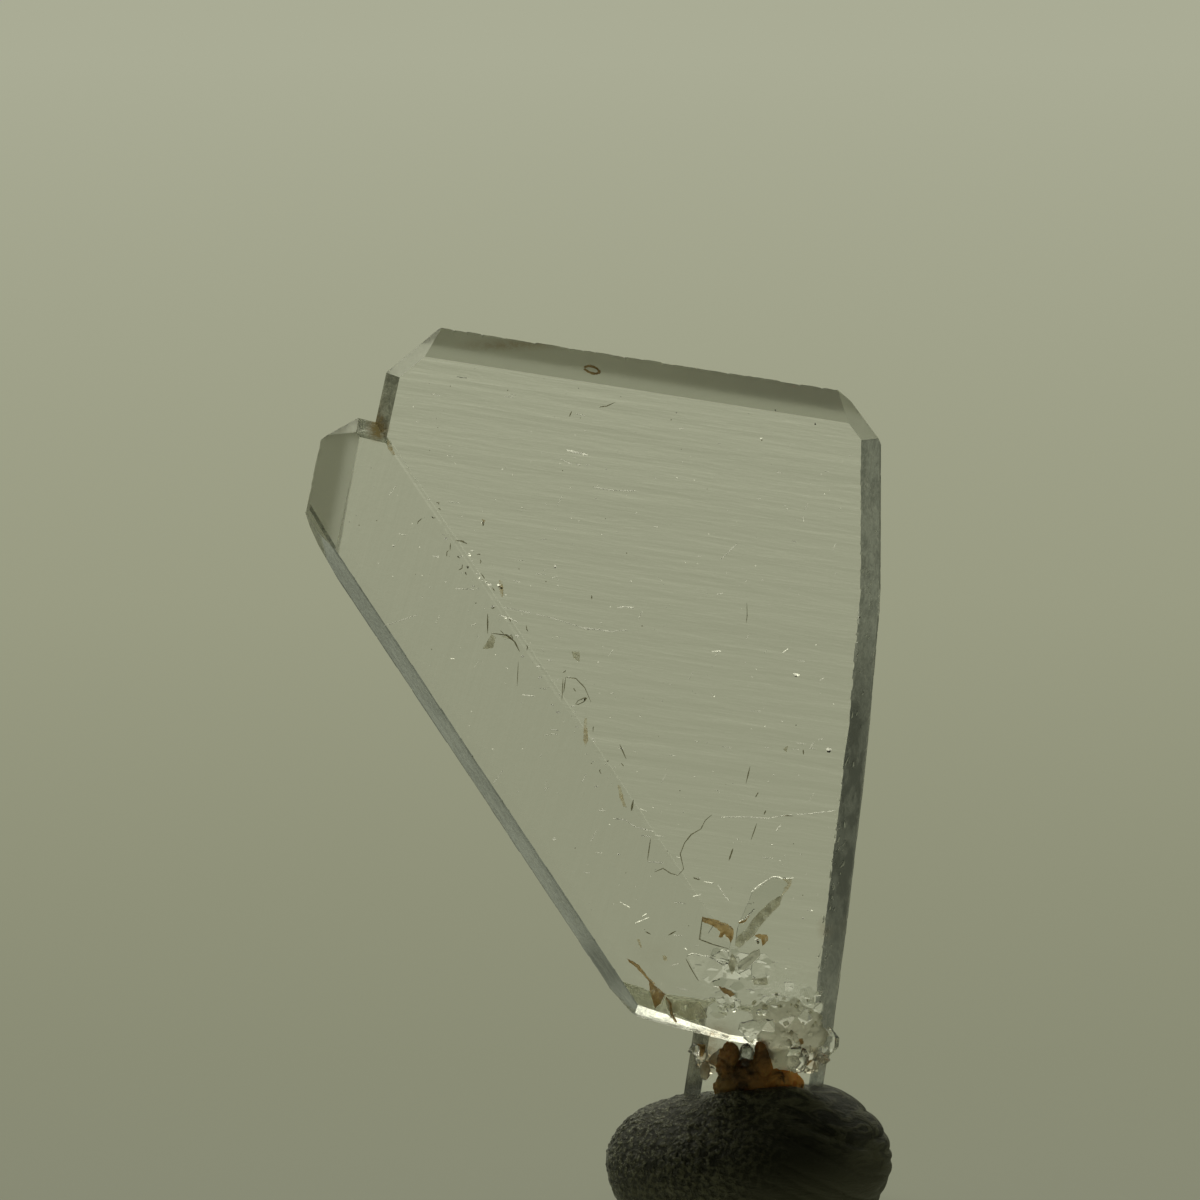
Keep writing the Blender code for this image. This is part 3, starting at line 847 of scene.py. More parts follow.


# Marks. Small nicks and flakes of the quartz stand on the front and turn up to the lamp, so they glint.
# Open cracks are thin lines in the front skin, painted grey as shade.

# Glints: how bright (0 to 2), width, and the points (x, z) that each follows.
GLINTS = [
    (2, 0.054, [(-1.22, 18.22), (-0.94, 18.23)]),
    (2, 0.041, [(1.03, 18.18), (1.21, 18.31), (1.33, 18.31)]),
    (1, 0.041, [(-4.24, 19.63), (-4, 19.67), (-3.72, 19.63)]),
    (1, 0.041, [(-1.07, 20.06), (-0.89, 20.1)]),
    (1, 0.041, [(-3.69, 22.66), (-3.53, 22.73)]),
    (1, 0.041, [(-1.67, 21.28), (-1.48, 21.36)]),
    (1, 0.071, [(-5.87, 24.71), (-5.52, 24.63), (-5.18, 24.55)]),
    (0, 0.032, [(-5.32, 18.99), (-4.83, 18.92), (-4.42, 18.86), (-3.94, 18.91)]),
    (1, 0.027, [
        (-0.94, 12.86), (-0.11, 12.87), (0.58, 12.82), (1.07, 12.92), (1.76, 12.96), (2.74, 13.07),
    ]),
    (1, 0.036, [(-4.38, 12.82), (-4, 12.77), (-3.65, 12.54), (-3.09, 12.4)]),
    (1, 0.037, [(-3.27, 11.42), (-2.75, 11.37)]),
    (1, 0.032, [(-3.48, 12.26), (-3.16, 12.23)]),
    (2, 0.032, [(-3.51, 13.13), (-3.3, 13.05)]),
    (1, 0.027, [(-2.3, 25.38), (-2.14, 25.41)]),
    (0, 0.027, [(-5.04, 23.52), (-4.35, 23.41), (-3.65, 23.39)]),
    (1, 0.027, [(-3.09, 22.24), (-2.96, 22.23)]),
    (1, 0.041, [(1.66, 22.57), (1.71, 22.4)]),
    (1, 0.036, [(-9.41, 20.25), (-8.84, 20.22)]),
    (1, 0.041, [(-7.29, 16.82), (-6.88, 16.78)]),
    (1, 0.054, [(-10.14, 21.3), (-9.94, 21.27)]),
    (1, 0.036, [(-7.81, 17.68), (-7.65, 17.67)]),
    (2, 0.041, [(-9.57, 17.98), (-9.45, 17.98)]),
    (1, 0.041, [(-8.02, 19.4), (-7.62, 19.27), (-7.41, 19.15)]),
    (0, 0.022, [(-11.69, 19.05), (-10.63, 19.4)]),
    (0, 0.027, [(-7.86, 19.65), (-6.39, 19.32), (-5.24, 18.95), (-4.8, 18.93)]),
    (0, 0.022, [(-8.22, 13.96), (-7.9, 14.37)]),
    (2, 0.042, [
        (0.06, 10.45), (0.26, 10.63), (0.51, 10.8), (0.73, 10.93), (0.92, 10.93), (1.05, 10.86),
        (1.39, 10.89),
    ]),
    (2, 0.04, [(-0.34, 9.48), (-0.16, 9.57), (0.15, 9.89)]),
    (2, 0.04, [(-2.05, 8.35), (-1.87, 8.44), (-1.29, 8.35), (-0.79, 8.03)]),
    (2, 0.035, [(-1.24, 8.39), (-0.66, 8.21)]),
    (2, 0.03, [(-1.24, 8.3), (-0.7, 8.12)]),
    (2, 0.035, [(-1.06, 8.44), (-0.88, 8.55), (-0.66, 8.5)]),
    (2, 0.05, [(-1.22, 7.51), (-0.96, 7.62)]),
    (2, 0.077, [(-0.39, 7.94), (-0.06, 8.21), (0.24, 8.45)]),
    (0, 0.035, [(0.42, 7.05), (1, 7.12)]),
    (0, 0.025, [(-0.12, 7.26), (0.69, 7.3)]),
    (2, 0.038, [(-1.47, 10.77), (-1.17, 10.72)]),
    (1, 0.037, [(-1.02, 10.66), (-0.79, 10.29), (-0.66, 10.16)]),
    (2, 0.038, [(-1.82, 10.29), (-1.56, 10.36)]),
    (1, 0.025, [(-2.54, 10.11), (-2.05, 10.05)]),
    (2, 0.035, [(-3.67, 9.43), (-3.23, 9.61)]),
    (2, 0.03, [(-3.46, 9.64), (-3.3, 9.74)]),
    (2, 0.038, [(-4.16, 10.11), (-3.85, 9.94)]),
    (0, 0.032, [(-6.37, 15.7), (-6.14, 15.67)]),
    (1, 0.032, [(-6.37, 15.56), (-6.14, 15.53)]),
    (0, 0.027, [(-1.76, 15.33), (-1.54, 15.27)]),
    (1, 0.027, [(2.18, 15.36), (2.34, 15.4)]),
    (1, 0.041, [(0.83, 12.42), (1.02, 12.65)]),
    (0, 0.027, [(-6.08, 24.43), (-5.7, 24.25), (-5.12, 24.22)]),
    (0, 0.032, [(-0.96, 21.18), (-0.42, 21.7)]),
]
# Cracks: width and points.
SHADES = [
    (0.048, [(-8.39, 19.44), (-8.39, 18.78)]),
    (0.054, [(-8.27, 18.8), (-7.78, 18.74), (-7.53, 18.53), (-7.37, 18.21)]),
    (0.048, [(-9.41, 21.79), (-9.2, 21.77), (-9.04, 21.68)]),
    (0.032, [(-9.57, 21.71), (-9.59, 21.46)]),
    (0.032, [(-5.98, 17.34), (-6.02, 16.64)]),
    (0.032, [(-5.9, 17.38), (-5.96, 16.89)]),
    (0.029, [(-5.9, 17.38), (-5.57, 17.34), (-5.29, 17.05), (-5.08, 16.56)]),
    (0.032, [
        (-5.58, 16.51), (-5.5, 16.62), (-5.31, 16.71), (-5.22, 16.71), (-5.31, 16.59), (-5.5, 16.5),
        (-5.58, 16.51),
    ]),
    (0.035, [(-4.17, 15.21), (-3.96, 14.73)]),
    (0.032, [
        (-1.22, 12.93), (-1.43, 12.75), (-1.57, 12.47), (-1.88, 12.29), (-2.09, 12.02), (-2.23, 11.66),
        (-2.12, 11.17), (-2.3, 10.96),
    ]),
    (0.032, [(-3.06, 11.07), (-2.78, 11.19), (-2.54, 11.03), (-2.3, 10.96)]),
    (0.032, [(-3.18, 12.16), (-3.28, 11.45)]),
    (0.042, [(1.7, 15.04), (1.71, 14.88)]),
    (0.032, [(0.27, 13.66), (0.17, 13.49)]),
    (0.051, [(0.45, 12.94), (0.51, 13.07)]),
    (0.022, [(-0.11, 19.79), (-0.1, 19.37), (-0.13, 19.13)]),
    (0.035, [(-5.78, 25.77), (-5.7, 25.95)]),
    (0.035, [(-5.07, 20.02), (-5.06, 19.89)]),
    (0.029, [(-4.83, 26.08), (-4.59, 26.11), (-4.31, 26.24)]),
    (0.026, [(-7.41, 17.88), (-7.45, 17.09)]),
    (0.048, [(-1.82, 10.89), (-1.6, 10.82)]),
    (0.038, [(-2.61, 9.02), (-2.36, 9.16)]),
    (0.035, [(-3.35, 9.14), (-3.17, 9.05)]),
    (0.035, [(-1.53, 9.55), (-1.62, 8.89), (-1.18, 8.72), (-0.64, 8.57)]),
    (0.038, [(-2.05, 8.26), (-1.86, 7.9), (-1.64, 7.53)]),
    (0.035, [(-0.13, 13.94), (0, 14.49)]),
    (0.029, [(1.02, 12.91), (1.38, 12.89)]),
    (0.032, [(0.22, 12.65), (0.03, 12.1)]),
    (0.051, [(-0.67, 11.45), (-0.54, 11.84)]),
    (0.064, [(-3.73, 13.42), (-3.8, 13.05)]),
]
# Pits: place, radius, how bright, and whether it has a painted shadow, a dark bead below it.
BEADS = [
    ((-8.55, 22.37), 0.08, 2, 1), ((-7.98, 20.35), 0.1, 2, 1), ((-8.65, 20.58), 0.06, 2, 0),
    ((-8.44, 20.46), 0.05, 2, 0), ((-8.96, 21.34), 0.07, 2, 0), ((-6.22, 20.97), 0.08, 1, 0),
    ((-11.37, 21.63), 0.06, 1, 0), ((-9.73, 20.47), 0.04, 1, 0), ((-7.29, 22.85), 0.04, 2, 0),
    ((-5.24, 14.91), 0.03, 2, 0), ((-6.27, 12.15), 0.06, 1, 0), ((-7.81, 19.3), 0.06, 2, 0),
    ((2.04, 25.55), 0.05, 1, 0), ((0.79, 25.99), 0.04, 1, 0), ((0.34, 25.06), 0.05, 2, 1),
    ((-4.61, 24.11), 0.04, 1, 0), ((-4.93, 23.15), 0.03, 0, 0), ((1.1, 22.91), 0.03, 0, 0),
    ((-0.74, 22.74), 0.03, 0, 0), ((1.47, 17.5), 0.12, 2, 0), ((2.46, 15.03), 0.16, 1, 0),
    ((-2.03, 8.58), 0.06, 2, 0), ((0.24, 8.87), 0.1, 1, 1), ((-0.35, 7.64), 0.05, 0, 1),
    ((0.13, 7.67), 0.05, 2, 1), ((1.72, 9.58), 0.05, 0, 0), ((1.98, 9.81), 0.06, 2, 0),
    ((-4.19, 11.65), 0.06, 1, 0), ((-0.38, 12.13), 0.04, 2, 0), ((0.72, 11.97), 0.05, 2, 0),
    ((3.48, 19.34), 0.05, 2, 1),
]


def side_of(point):
    """The rim and front of the individual that (x, z) is on."""
    across = math.cos(SEAM) * (point[1] - NOTCH[1]) - math.sin(SEAM) * (point[0] - NOTCH[0])
    return (LEFT_RIM, LEFT_FRONT) if across > 0.0 else (RIGHT_RIM, FRONT)


def front_at(point):
    """Where the front of the crystal is at (x, z): on a plate, or on a face of its rim."""
    rim, front = side_of(point)
    place = front
    for (start, kind, depth), (end, _, _) in zip(rim, rim[1:]):
        outward = outward_of(start, end)
        inward = (start[0] - point[0]) * outward.x + (start[1] - point[1]) * outward.z
        if inward > 0.0:
            place = max(place, front + depth - inward / math.tan(math.radians(LEAN[kind])))
    return place


def turned_left(outline):
    """The outline, (x, z) in order, reversed if it turns right."""
    turned = sum(a[0] * b[1] - b[0] * a[1] for a, b in zip(outline, outline[1:] + outline[:1]))
    return outline if turned > 0.0 else outline[::-1]


def slab(shape, outline, proud, deep, skin=0):
    """A thin closed plate with this outline, let into the front of the crystal."""
    outline = turned_left(outline)
    front = [(x, front_at((x, z)) - proud, z) for x, z in outline]
    back = [(x, front_at((x, z)) + deep, z) for x, z in outline]
    close_plate(shape, front, back, skin)


def line(shape, width, points, proud=0.012, deep=0.02):
    """A strip along a line of points, narrow at its ends."""
    fine = []
    for start, end in zip(points, points[1:]):
        for part in (0.0, 0.25, 0.5, 0.75):
            fine.append(Vector(start).lerp(Vector(end), part))
    fine.append(Vector(points[-1]))
    last = len(fine) - 1
    one_side = []
    other_side = []
    for i, point in enumerate(fine):
        along = (fine[min(i + 1, last)] - fine[max(i - 1, 0)]).normalized()
        across = Vector((-along.y, along.x))
        half = 0.5 * width * (0.25 + 0.75 * math.sin(math.pi * i / last) ** 0.6) * rng.uniform(0.7, 1.2)
        one_side.append(point + half * across)
        other_side.append(point - half * across)
    slab(shape, [tuple(p) for p in one_side + other_side[::-1]], proud, deep)


def bead(shape, place, radius):
    """A small flattened lump on the front."""
    centre = Vector((place[0], front_at(place), place[1]))
    made = bmesh.ops.create_icosphere(shape, subdivisions=1, radius=radius)
    for vert in made["verts"]:
        vert.co.y *= 0.4
        vert.co *= rng.uniform(0.75, 1.2)
    bmesh.ops.translate(shape, vec=centre, verts=made["verts"])


def inside(rim, point, margin):
    """Whether a point (x, z) lies inside a rim by at least a margin."""
    for (start, _, _), (end, _, _) in zip(rim, rim[1:]):
        outward = outward_of(start, end)
        if (point[0] - start[0]) * outward.x + (point[1] - start[1]) * outward.z > -margin:
            return False
    return True


def on_plate(margin):
    """A random point (x, z) on the front of either individual."""
    while True:
        point = (rng.uniform(-14.0, 4.0), rng.uniform(6.0, 28.0))
        if inside(side_of(point)[0], point, margin):
            return point


def by_seam(spread):
    """A random point (x, z) near the composition line."""
    x, z = seam_point(rng.uniform(2.6, 13.5))
    return x + rng.gauss(0.0, spread), z + rng.gauss(0.0, 0.30)


# A sliver rises towards the back by 18 degrees, and so mirrors the lamp. For each millimetre that it is
# high as seen, it is this deep and this tall.
SLIVER_DEPTH = 2.15
SLIVER_HEIGHT = 0.70
SLIVER_THICKNESS = Vector((0.0, 0.0012, -0.0038))


def sliver(shape, outline, level):
    """A thin scale with this outline as seen, on the front of the crystal."""
    outline = turned_left(outline)
    middle = Vector([sum(values) / len(outline) for values in zip(*outline)])
    top = max(z for _, z in outline)
    foot = min(front_at(point) for point in outline) + 0.004
    skew = rng.uniform(-0.05, 0.05)
    upper = []
    for x, z in outline:
        y = foot - SLIVER_DEPTH * (top - z) + skew * (x - middle.x)
        upper.append(Vector((x, y, middle.y + SLIVER_HEIGHT * (z - middle.y))))
    close_plate(shape, upper, [point + SLIVER_THICKNESS for point in upper], level)


def flake(shape, place, wide, high, level):
    """A sliver with five unequal corners."""
    turn = rng.uniform(0.0, 6.28)
    outline = []
    for i in range(5):
        angle = turn + 0.4 * math.pi * (i + rng.uniform(-0.25, 0.25))
        outline.append((place[0] + 0.5 * wide * math.cos(angle), place[1] + 0.5 * high * math.sin(angle)))
    sliver(shape, outline, level)


def chain(shape, level, width, points):
    """Slivers end to end along a line of points, with gaps."""
    for start, end in zip(points, points[1:]):
        run = Vector(end) - Vector(start)
        count = max(1, math.ceil(max(abs(run.x) / 0.15, abs(run.y) / 0.05)))
        across = 0.5 * width * Vector((-run.y, run.x)).normalized()
        other = 0.5 * across
        for i in range(count):
            one = other
            other = rng.uniform(0.25, 1.0) * across
            if rng.random() < 0.06:
                continue
            near = Vector(start) + i / count * run
            far = Vector(start) + (i + rng.uniform(0.9, 1.05)) / count * run
            sliver(shape, [near - one, far - other, far + other, near + one], level)


# The darkest and lightest tone of the metal-bright slivers of each brightness.
GLINT_TONES = [(0.15, 0.20), (0.16, 0.30), (0.20, 0.55)]
glints = bmesh.new()
for level, width, points in GLINTS:
    chain(glints, level, width, points)
for place, radius, level, _ in BEADS:
    for _ in range(3):
        spread = 0.5 * radius
        near = (place[0] + rng.uniform(-spread, spread), place[1] + rng.uniform(-spread, spread))
        flake(glints, near, rng.uniform(0.8, 1.3) * radius, rng.uniform(0.5, 0.9) * radius, level)

# Fine flecks all over the plates.
for _ in range(260):
    size = rng.uniform(0.02, 0.05)
    flake(glints, on_plate(1.0), size, 0.7 * size, rng.choice((0, 0, 1, 1, 2)))

# Chips and flakes of the right strip, which runs down from STRIP_TOP and pulls in to the left.
STRIP_TOP = (4.12, 23.5)
STRIP_FALL = 15.5
STRIP_PULL_IN = 1.55
for _ in range(90):
    at = rng.random() ** 0.55
    x = STRIP_TOP[0] - STRIP_PULL_IN * at ** 1.6 - rng.uniform(0.04, 0.48)
    z = STRIP_TOP[1] - STRIP_FALL * at
    wide = rng.uniform(0.012, 0.045)
    high = wide * rng.uniform(1.0, 4.0)
    tilt = rng.uniform(-0.3, 0.5) * high
    chip = [
        (x - wide, z - high), (x + 0.3 * wide, z - 0.8 * high), (x + wide + tilt, z + high), (x + tilt, z)
    ]
    if rng.random() < 0.5:
        slab(glints, chip, 0.05, 0.01, len(GLINT_TONES))
    else:
        flake(glints, (x, z), 0.5 * wide, 0.7 * high, rng.choice((0, 1, 2)))

# Flakes by the composition line, and then short scratches.
for _ in range(70):
    x, z = by_seam(0.24)
    size = 0.02 + 0.14 * rng.random() ** 2
    flake(glints, (x, z), size, rng.uniform(0.2, 0.6) * size, rng.choice((0, 0, 1)))
for _ in range(70):
    x, z = on_plate(1.2)
    turn = math.radians(rng.choice((-8.6, -8.6, -8.6, 60.0, 20.0)) + rng.uniform(-6, 6))
    reach = rng.uniform(0.1, 0.4)
    points = [(x, z), (x + reach * math.cos(turn), z + reach * math.sin(turn))]
    chain(glints, rng.choice((0, 0, 1)), 0.022, points)
glint_materials = []
for level, (dim, bright) in enumerate(GLINT_TONES):
    material, shader, spot = new_material(f"glint_{level}")
    tone = spot.grain(9000.0, 3.0, 0.6).slide(0.35, 0.65)
    drive(shader, {
        "Base Color": tone.mix((dim, dim, 0.95 * dim, 1), (bright, bright, 0.96 * bright, 1)),
        "Metallic": 1.0,
        "Roughness": 0.12,
    })
    glint_materials.append(material)
material, shader, _ = new_material("chip")
drive(shader, {"Base Color": (0.80, 0.82, 0.76, 1), "Roughness": 0.6})
glint_materials.append(material)
flakes = new_object("flakes", glints, glint_materials, MM)
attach(flakes, "root")

shades = bmesh.new()
for width, points in SHADES:
    line(shades, width, points)
# Painted shadows: a dark bead below some pits.
for place, radius, _, shadow in BEADS:
    if shadow:
        bead(shades, (place[0] + 0.3 * radius, place[1] - 0.9 * radius), 0.5 * radius)
for _ in range(40):
    bead(shades, on_plate(1.2), rng.uniform(0.010, 0.024))
for _ in range(26):
    start = Vector(by_seam(0.26))
    reach = Vector((rng.uniform(-0.16, 0.16), rng.uniform(-0.22, 0.0)))
    bend = Vector((rng.uniform(-0.05, 0.05), rng.uniform(-0.05, 0.05)))
    line(shades, 0.03, [start, start + 0.5 * reach + bend, start + reach])
# A dark film, painted shade, for the cracks and the shadows below pits; the small specks use it too.
material, shader, _ = new_material("crack_painted_shade")
drive(shader, {
    "Base Color": (0.30, 0.28, 0.20, 1),
    "Transmission Weight": 1.0,
    "IOR": 1.3,
    "Roughness": 0.4,
})
shade_lines = new_object("crack_painted_shades", shades, [material], MM)
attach(shade_lines, "root")


# Iron stains. Rust has run into cracks and round the root crystals: tan films, ochre and deep brown.
# The grey-brown films are painted shade, of cracks that lie flat and of shaded sides of root crystals.
# Each is a kind, how far it stands off the plate on a root crystal, and an outline of points (x, z).

STAINS_AND_SHADES = [
    ("ochre", 0, [
        (-3.94, 8.27), (-3.58, 8.08), (-3.26, 7.67), (-2.98, 7.38), (-3.22, 7.53), (-3.62, 7.95),
        (-3.87, 8.16),
    ]),
    ("brown", 0.05, [(-3.24, 7.58), (-2.72, 7.12), (-2.86, 6.8), (-3.04, 6.65), (-3.2, 7.22)]),
    ("ochre", 0.02, [
        (-2.75, 7.12), (-2.5, 6.8), (-2.47, 6.51), (-2.31, 6.17), (-2.38, 6.12), (-2.55, 6.46),
        (-2.58, 6.75),
    ]),
    ("ochre", 0.1, [
        (-1.53, 9.64), (-1.29, 9.59), (-0.75, 9.43), (-0.52, 9.25), (-0.52, 8.98), (-0.61, 8.78),
        (-0.68, 8.93), (-0.82, 9.07), (-0.88, 8.96), (-1, 8.98), (-0.95, 9.16), (-1.11, 9.3),
        (-1.38, 9.43), (-1.53, 9.48),
    ]),
    ("tan", 0.05, [
        (1.02, 10.86), (1.34, 10.86), (1.33, 10.66), (1.18, 10.45), (1.05, 10.36), (1.09, 10.55),
        (1.22, 10.71),
    ]),
    ("grey", 0.17, [
        (1.07, 10.39), (0.96, 10.02), (0.6, 9.66), (0.33, 9.34), (0.11, 9.02), (-0.12, 8.84),
        (-0.34, 8.62), (-0.48, 8.75), (-0.43, 8.98), (-0.12, 9.25), (0.06, 9.53), (0.33, 9.84),
        (0.69, 10.16),
    ]),
    ("ochre", 0.06, [(-0.37, 9.47), (-0.16, 9.53), (0, 9.68), (-0.14, 9.47), (-0.34, 9.4)]),
    ("ochre", 0.02, [
        (0.15, 9.02), (0.33, 9.07), (0.57, 9.04), (0.58, 8.84), (0.42, 8.68), (0.37, 8.89),
        (0.22, 8.97),
    ]),
    ("grey", 0.1, [(-0.57, 8.48), (-0.39, 8.16), (-0.57, 7.75), (-0.7, 8.07)]),
    ("brown", 0.05, [(-1.02, 7.39), (-0.66, 7.27), (-0.46, 7.11), (-0.61, 7.03), (-0.88, 7.2)]),
    ("grey", 0.1, [(0.06, 7.62), (0.55, 7.66), (0.58, 7.44), (0.15, 7.42)]),
    ("grey", 0, [(-8.27, 18.78), (-8.12, 18.66), (-8.22, 18.33), (-8.55, 18.29)]),
    ("grey", 0, [(-7.98, 18.7), (-7.61, 18.75), (-7.65, 18.6)]),
    ("grey", 0, [(-5.7, 18.21), (-5.45, 18.21), (-5.45, 17.88), (-5.65, 18)]),
    ("tan", 0, [(-8.02, 20.52), (-7.9, 20.47), (-7.89, 19.94), (-7.97, 19.99), (-8.02, 20.24)]),
    ("tan", 0, [(-8.59, 22.49), (-8.45, 22.44), (-8.5, 22.36)]),
    ("tan", 0, [(-5.3, 16.08), (-5.22, 16.04), (-5.18, 15.33), (-5.26, 15.14), (-5.33, 15.36)]),
    ("tan", 0, [
        (-4.24, 13.91), (-4.14, 13.88), (-4.05, 13.49), (-3.95, 13.17), (-4.05, 13.2), (-4.17, 13.49),
    ]),
    ("grey", 0, [(1.22, 15.18), (1.17, 14.96), (1.06, 15.06)]),
    ("tan", 0, [(-3.61, 8.9), (-3.54, 8.89), (-3.46, 8.64), (-3.5, 8.59)]),
    ("tan", 0, [(-2.8, 8.37), (-2.67, 8.34), (-2.64, 8.21), (-2.75, 8.2)]),
    ("tan", 0, [(-11.58, 25.06), (-11.49, 24.99), (-11.33, 24.54), (-11.43, 24.53), (-11.58, 24.8)]),
    ("brown", 0, [
        (-5.33, 27.34), (-5.18, 27.4), (-4.96, 27.35), (-4.78, 27.21), (-4.8, 27.12), (-4.98, 27.09),
        (-5.2, 27.16), (-5.33, 27.26), (-5.27, 27.28), (-5.16, 27.22), (-4.97, 27.15), (-4.87, 27.17),
        (-4.87, 27.22), (-5, 27.29), (-5.17, 27.33), (-5.28, 27.3),
    ]),
    ("grey", 0, [(-2.72, 6.96), (-1.6, 6.83), (-1.34, 6.35), (-1.92, 6.25), (-2.62, 6.58)]),
    ("brown", 0.02, [(-1.70, 5.50), (-1.42, 5.46), (-1.44, 5.28), (-1.58, 5.36)]),
    ("ochre", 0.02, [(-1.6, 5.38), (-1.41, 5.41), (-1.47, 5.12), (-1.6, 4.99)]),
    ("ochre", -0.3, [(-1.41, 4.86), (-1.02, 4.93), (-0.77, 4.8), (-1.09, 4.7), (-1.38, 4.73)]),
    ("ochre", 0.22, [(1.6, 4.77), (1.86, 4.96), (2.05, 4.99), (1.86, 4.8), (1.66, 4.67)]),
    ("tan", 0.22, [(1.92, 5.48), (2.11, 5.38), (2.24, 5.12), (2.08, 4.99), (1.92, 5.19)]),
    ("brown", 0.22, [(1.57, 5.67), (1.7, 5.7), (1.73, 5.54), (1.63, 5.48)]),
]


def ragged(outline):
    """The outline with a point every 0.05 mm or so, each a little off the straight line."""
    points = []
    for start, end in zip(outline, outline[1:] + outline[:1]):
        run = Vector(end) - Vector(start)
        count = max(1, round(run.length / 0.05))
        for i in range(count):
            off = Vector((rng.uniform(-0.012, 0.012), rng.uniform(-0.012, 0.012)))
            points.append(tuple(Vector(start) + i / count * run + off))
    return points


def stain_and_shade_film(name, pale, dark, cover):
    """A film that light passes through, blotched from pale to dark and broken up. The tan, ochre and
    brown kinds are stained quartz, the grey kind is painted shade.
    """
    material, shader, spot = new_material(name)
    blotch = spot.grain(3200.0, 4.0, 0.65).slide(0.32, 0.68)
    drive(shader, {
        "Base Color": blotch.mix((*pale, 1), (*dark, 1)),
        "Transmission Weight": 1.0,
        "IOR": 1.4,
        "Roughness": 0.45,
        "Normal": blotch.relief(0.02 * MM),
        "Alpha": spot.grain(4200.0, 4.0, 0.7).slide(cover - 0.16, cover + 0.14) * 0.92,
    })
    return material


STAIN_AND_SHADE_MATERIALS = {
    "tan": stain_and_shade_film("tan_film", (0.92, 0.86, 0.70), (0.62, 0.50, 0.32), 0.46),
    "ochre": stain_and_shade_film("ochre_film", (0.74, 0.53, 0.27), (0.40, 0.23, 0.07), 0.38),
    "brown": stain_and_shade_film("rust_deep", (0.56, 0.37, 0.16), (0.27, 0.14, 0.04), 0.34),
    # Painted shade: grey-brown films for shade.
    "grey": stain_and_shade_film("painted_shade_film", (0.82, 0.80, 0.68), (0.46, 0.43, 0.33), 0.42),
}
for kind, material in STAIN_AND_SHADE_MATERIALS.items():
    film = bmesh.new()
    for which, lift, outline in STAINS_AND_SHADES:
        if which == kind:
            slab(film, ragged(outline), lift + 0.02, 0.01 - lift)
    piece = new_object(f"stain_and_shade_{kind}", film, [material], MM)
    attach(piece, "root")


# The tack. A lump of grey-black putty, pressed and pinched: grainy and glittering on its left, creased
# along its top right. Painted light makes its left grains, its creased top and its lower part lighter,
# painted glints sit on the crests that face the upper left lamp, and dark pitting of painted shade lies
# lower down.


TACK_MIDDLE = Vector((0.0, 0.25, 1.5))
TACK_HALF_WIDTH = 4.55
TACK_HALF_DEPTH = 3.80
TACK_RISE = 2.30
TACK_DROP = 3.20
TACK_LIP = 0.46


def putty_lump():
    """A ball drawn out, higher at its right, creased, with a lip in front and a flat underside."""
    shape = bmesh.new()
    bmesh.ops.create_uvsphere(shape, u_segments=280, v_segments=150, radius=1.0)
    for vert in shape.verts:
        unit = vert.co.copy()
        x = TACK_HALF_WIDTH * unit.x
        swell = 1.0 + 0.11 * min(3.0, max(0.0, x))
        rise = TACK_RISE * swell if unit.z > 0.0 else TACK_DROP
        co = TACK_MIDDLE + Vector((x, TACK_HALF_DEPTH * unit.y, rise * unit.z))
        outward = Vector((unit.x / TACK_HALF_WIDTH, unit.y / TACK_HALF_DEPTH, unit.z / rise)).normalized()
        lumps = noise.noise(0.45 * co + Vector((3.1, 0.0, 7.7)))
        along_rim = Vector((0.40 * co.x + 0.25 * co.z, 0.35 * co.y, 2.0 * co.z + 0.9 * co.x))
        crease = abs(noise.noise(along_rim)) ** 0.7
        right_top = min(1.0, max(0.0, 0.30 + 0.20 * co.x + 0.16 * (co.z - 1.5)))
        left = min(1.0, max(0.0, 0.25 - 0.35 * co.x))
        grain = noise.noise(6.0 * Vector((co.x, co.y, 1.4 * co.z)))
        lift = 0.05 + 0.09 * lumps - 0.13 * right_top * (1.0 - crease) ** 3 + 0.06 * left * grain
        vert.co = co + lift * outward
        if unit.z > 0.0:
            vert.co.z += TACK_LIP * math.exp(-((co.y + 1.5) / 0.7) ** 2 - ((co.x - 0.3) / 2.2) ** 4)
    cut_away(shape, (0.0, 0.0, 0.0), (0.0, 0.0, -1.0))
    bmesh.ops.recalc_face_normals(shape, faces=shape.faces)
    for face in shape.faces:
        face.smooth = True
    return shape


material, shader, spot = new_material("tack")
left = spot.dot((-1, 0, 0.55)).slide(-0.0006, 0.0030)
low = spot.dot((0.16, 0, -1)).slide(-0.0026, -0.0004)
top = spot.dot((0.5, 0, 1)).slide(0.0030, 0.0052)
bumps = spot.grain(5600.0, 3.0, 0.55, 0.3)
fine = spot.grain(15000.0, 3.0, 0.6)
drawn = spot.placed(turn=0.20, scale=(1.3 * MM, 1.3 * MM, 0.34 * MM))
creases = drawn.grain(1.0, 6.0, 0.66, 1.4)
height = left * bumps * 0.24 + creases * (top * 0.26 + 0.08) + fine * (0.014 + left * 0.03)
# Painted light: lighter grains on the left, a lighter lower part where the floor lights it, and lighter
# creases on top.
tone = bumps.slide(0.42, 0.64) * left * 0.9 + low * 0.5 + top * creases.slide(0.44, 0.58) * 0.9
# Painted shade: dark spots for pitting lower down.
pits = spot.grain(1500.0, 2.0, 0.5).slide(0.30, 0.22) * low
colour = tone.mix((0.003, 0.003, 0.0018, 1), (0.110, 0.108, 0.066, 1))
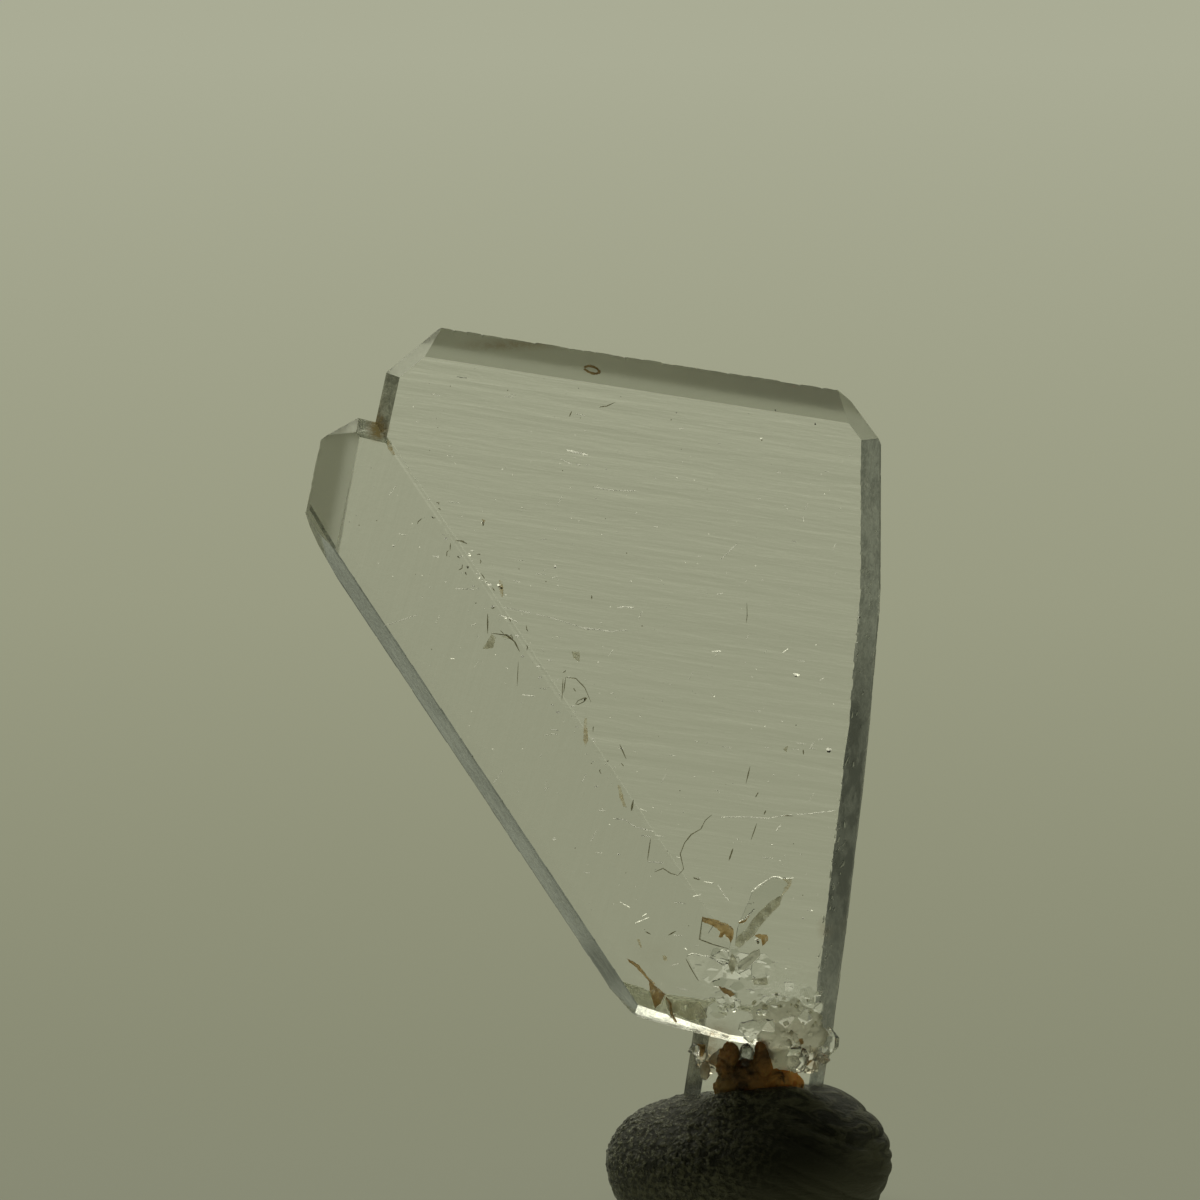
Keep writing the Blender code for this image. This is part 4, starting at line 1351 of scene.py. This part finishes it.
# Painted glints on the crests that face the upper left lamp.
crest = spot.dot((-0.8, 0.0, 1.0)).slide(0.0036, 0.0062) * bumps.slide(0.45, 0.62)
painted_glints = spot.grain(13000.0, 3.0, 0.7).slide(0.52, 0.60) * crest
colour = painted_glints.mix(colour, (0.60, 0.60, 0.46, 1))
drive(shader, {
    "Base Color": pits.mix(colour, (0.004, 0.004, 0.003, 1)),
    "Roughness": left * -0.36 + 0.58,
    "Specular IOR Level": 0.32,
    "Specular Tint": (1.0, 1.0, 0.80, 1),
    "Normal": height.relief(),
})
tack = new_object("tack", putty_lump(), [material], MM)
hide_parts("putty")
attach(tack, "root")


# The clay. A cake of iron-stained clay in front of the stub, dark in its two humps and orange at its
# lower right, where its colour is also painted brighter for light glowing through the thin clay.

CLAY_LUMPS = [
    ((-0.10, -0.76, 4.22), (0.94, 0.46, 0.66)),
    ((-0.61, -0.78, 5.10), (0.29, 0.36, 0.46)),
    ((0.43, -0.80, 4.92), (0.31, 0.42, 0.66)),
    ((0.92, -0.74, 4.22), (0.66, 0.42, 0.50)),
    ((1.42, -0.70, 4.00), (0.30, 0.34, 0.52)),
    ((-0.80, -0.70, 3.92), (0.32, 0.36, 0.62)),
    ((-0.05, -0.74, 4.66), (0.60, 0.40, 0.34)),
    ((-0.70, -0.72, 4.76), (0.38, 0.36, 0.40)),
]


CRUMBS = [(0.10, 2.6), (0.07, 7.0), (0.03, 19.0)]
material, shader, spot = new_material("clay")
blotch = spot.grain(1700.0, 5.0, 0.65, 0.5)
# Painted light: the lower right is painted brighter orange, for light glowing through the thin clay.
painted_glow_low_right = spot.dot((1.0, 0.0, -0.9)).slide(-0.0042, -0.0025)
left_low = spot.dot((-1.0, 0.0, -0.9)).slide(-0.0036, -0.0022)
humps = spot.dot((0.0, 0.0, 1.0)).slide(4.5 * MM, 5.2 * MM)
rusty = (blotch.slide(0.36, 0.66) + humps * 0.25).mix((0.040, 0.020, 0.005, 1), (0.25, 0.13, 0.038, 1))
olive = (left_low * blotch.slide(0.35, 0.55)).mix(rusty, (0.38, 0.26, 0.10, 1))
height = blotch * 0.06 + spot.grain(9000.0, 3.0, 0.6) * 0.03
drive(shader, {
    "Base Color": (painted_glow_low_right * blotch.slide(0.30, 0.55)).mix(olive, (0.74, 0.36, 0.09, 1)),
    "Subsurface Weight": 0.7,
    "Subsurface Radius": (1.0, 0.55, 0.22),
    "Subsurface Scale": 0.7 * MM,
    "Roughness": 0.7,
    "Normal": height.relief(),
})
balls = [rough_ball(centre, radii, CRUMBS, 5) for centre, radii in CLAY_LUMPS]
clay = grow_together("clay", balls[0], balls[1:], [material])
for polygon in clay.data.polygons:
    polygon.use_smooth = True
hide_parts("iron_clay")
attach(clay, "root")
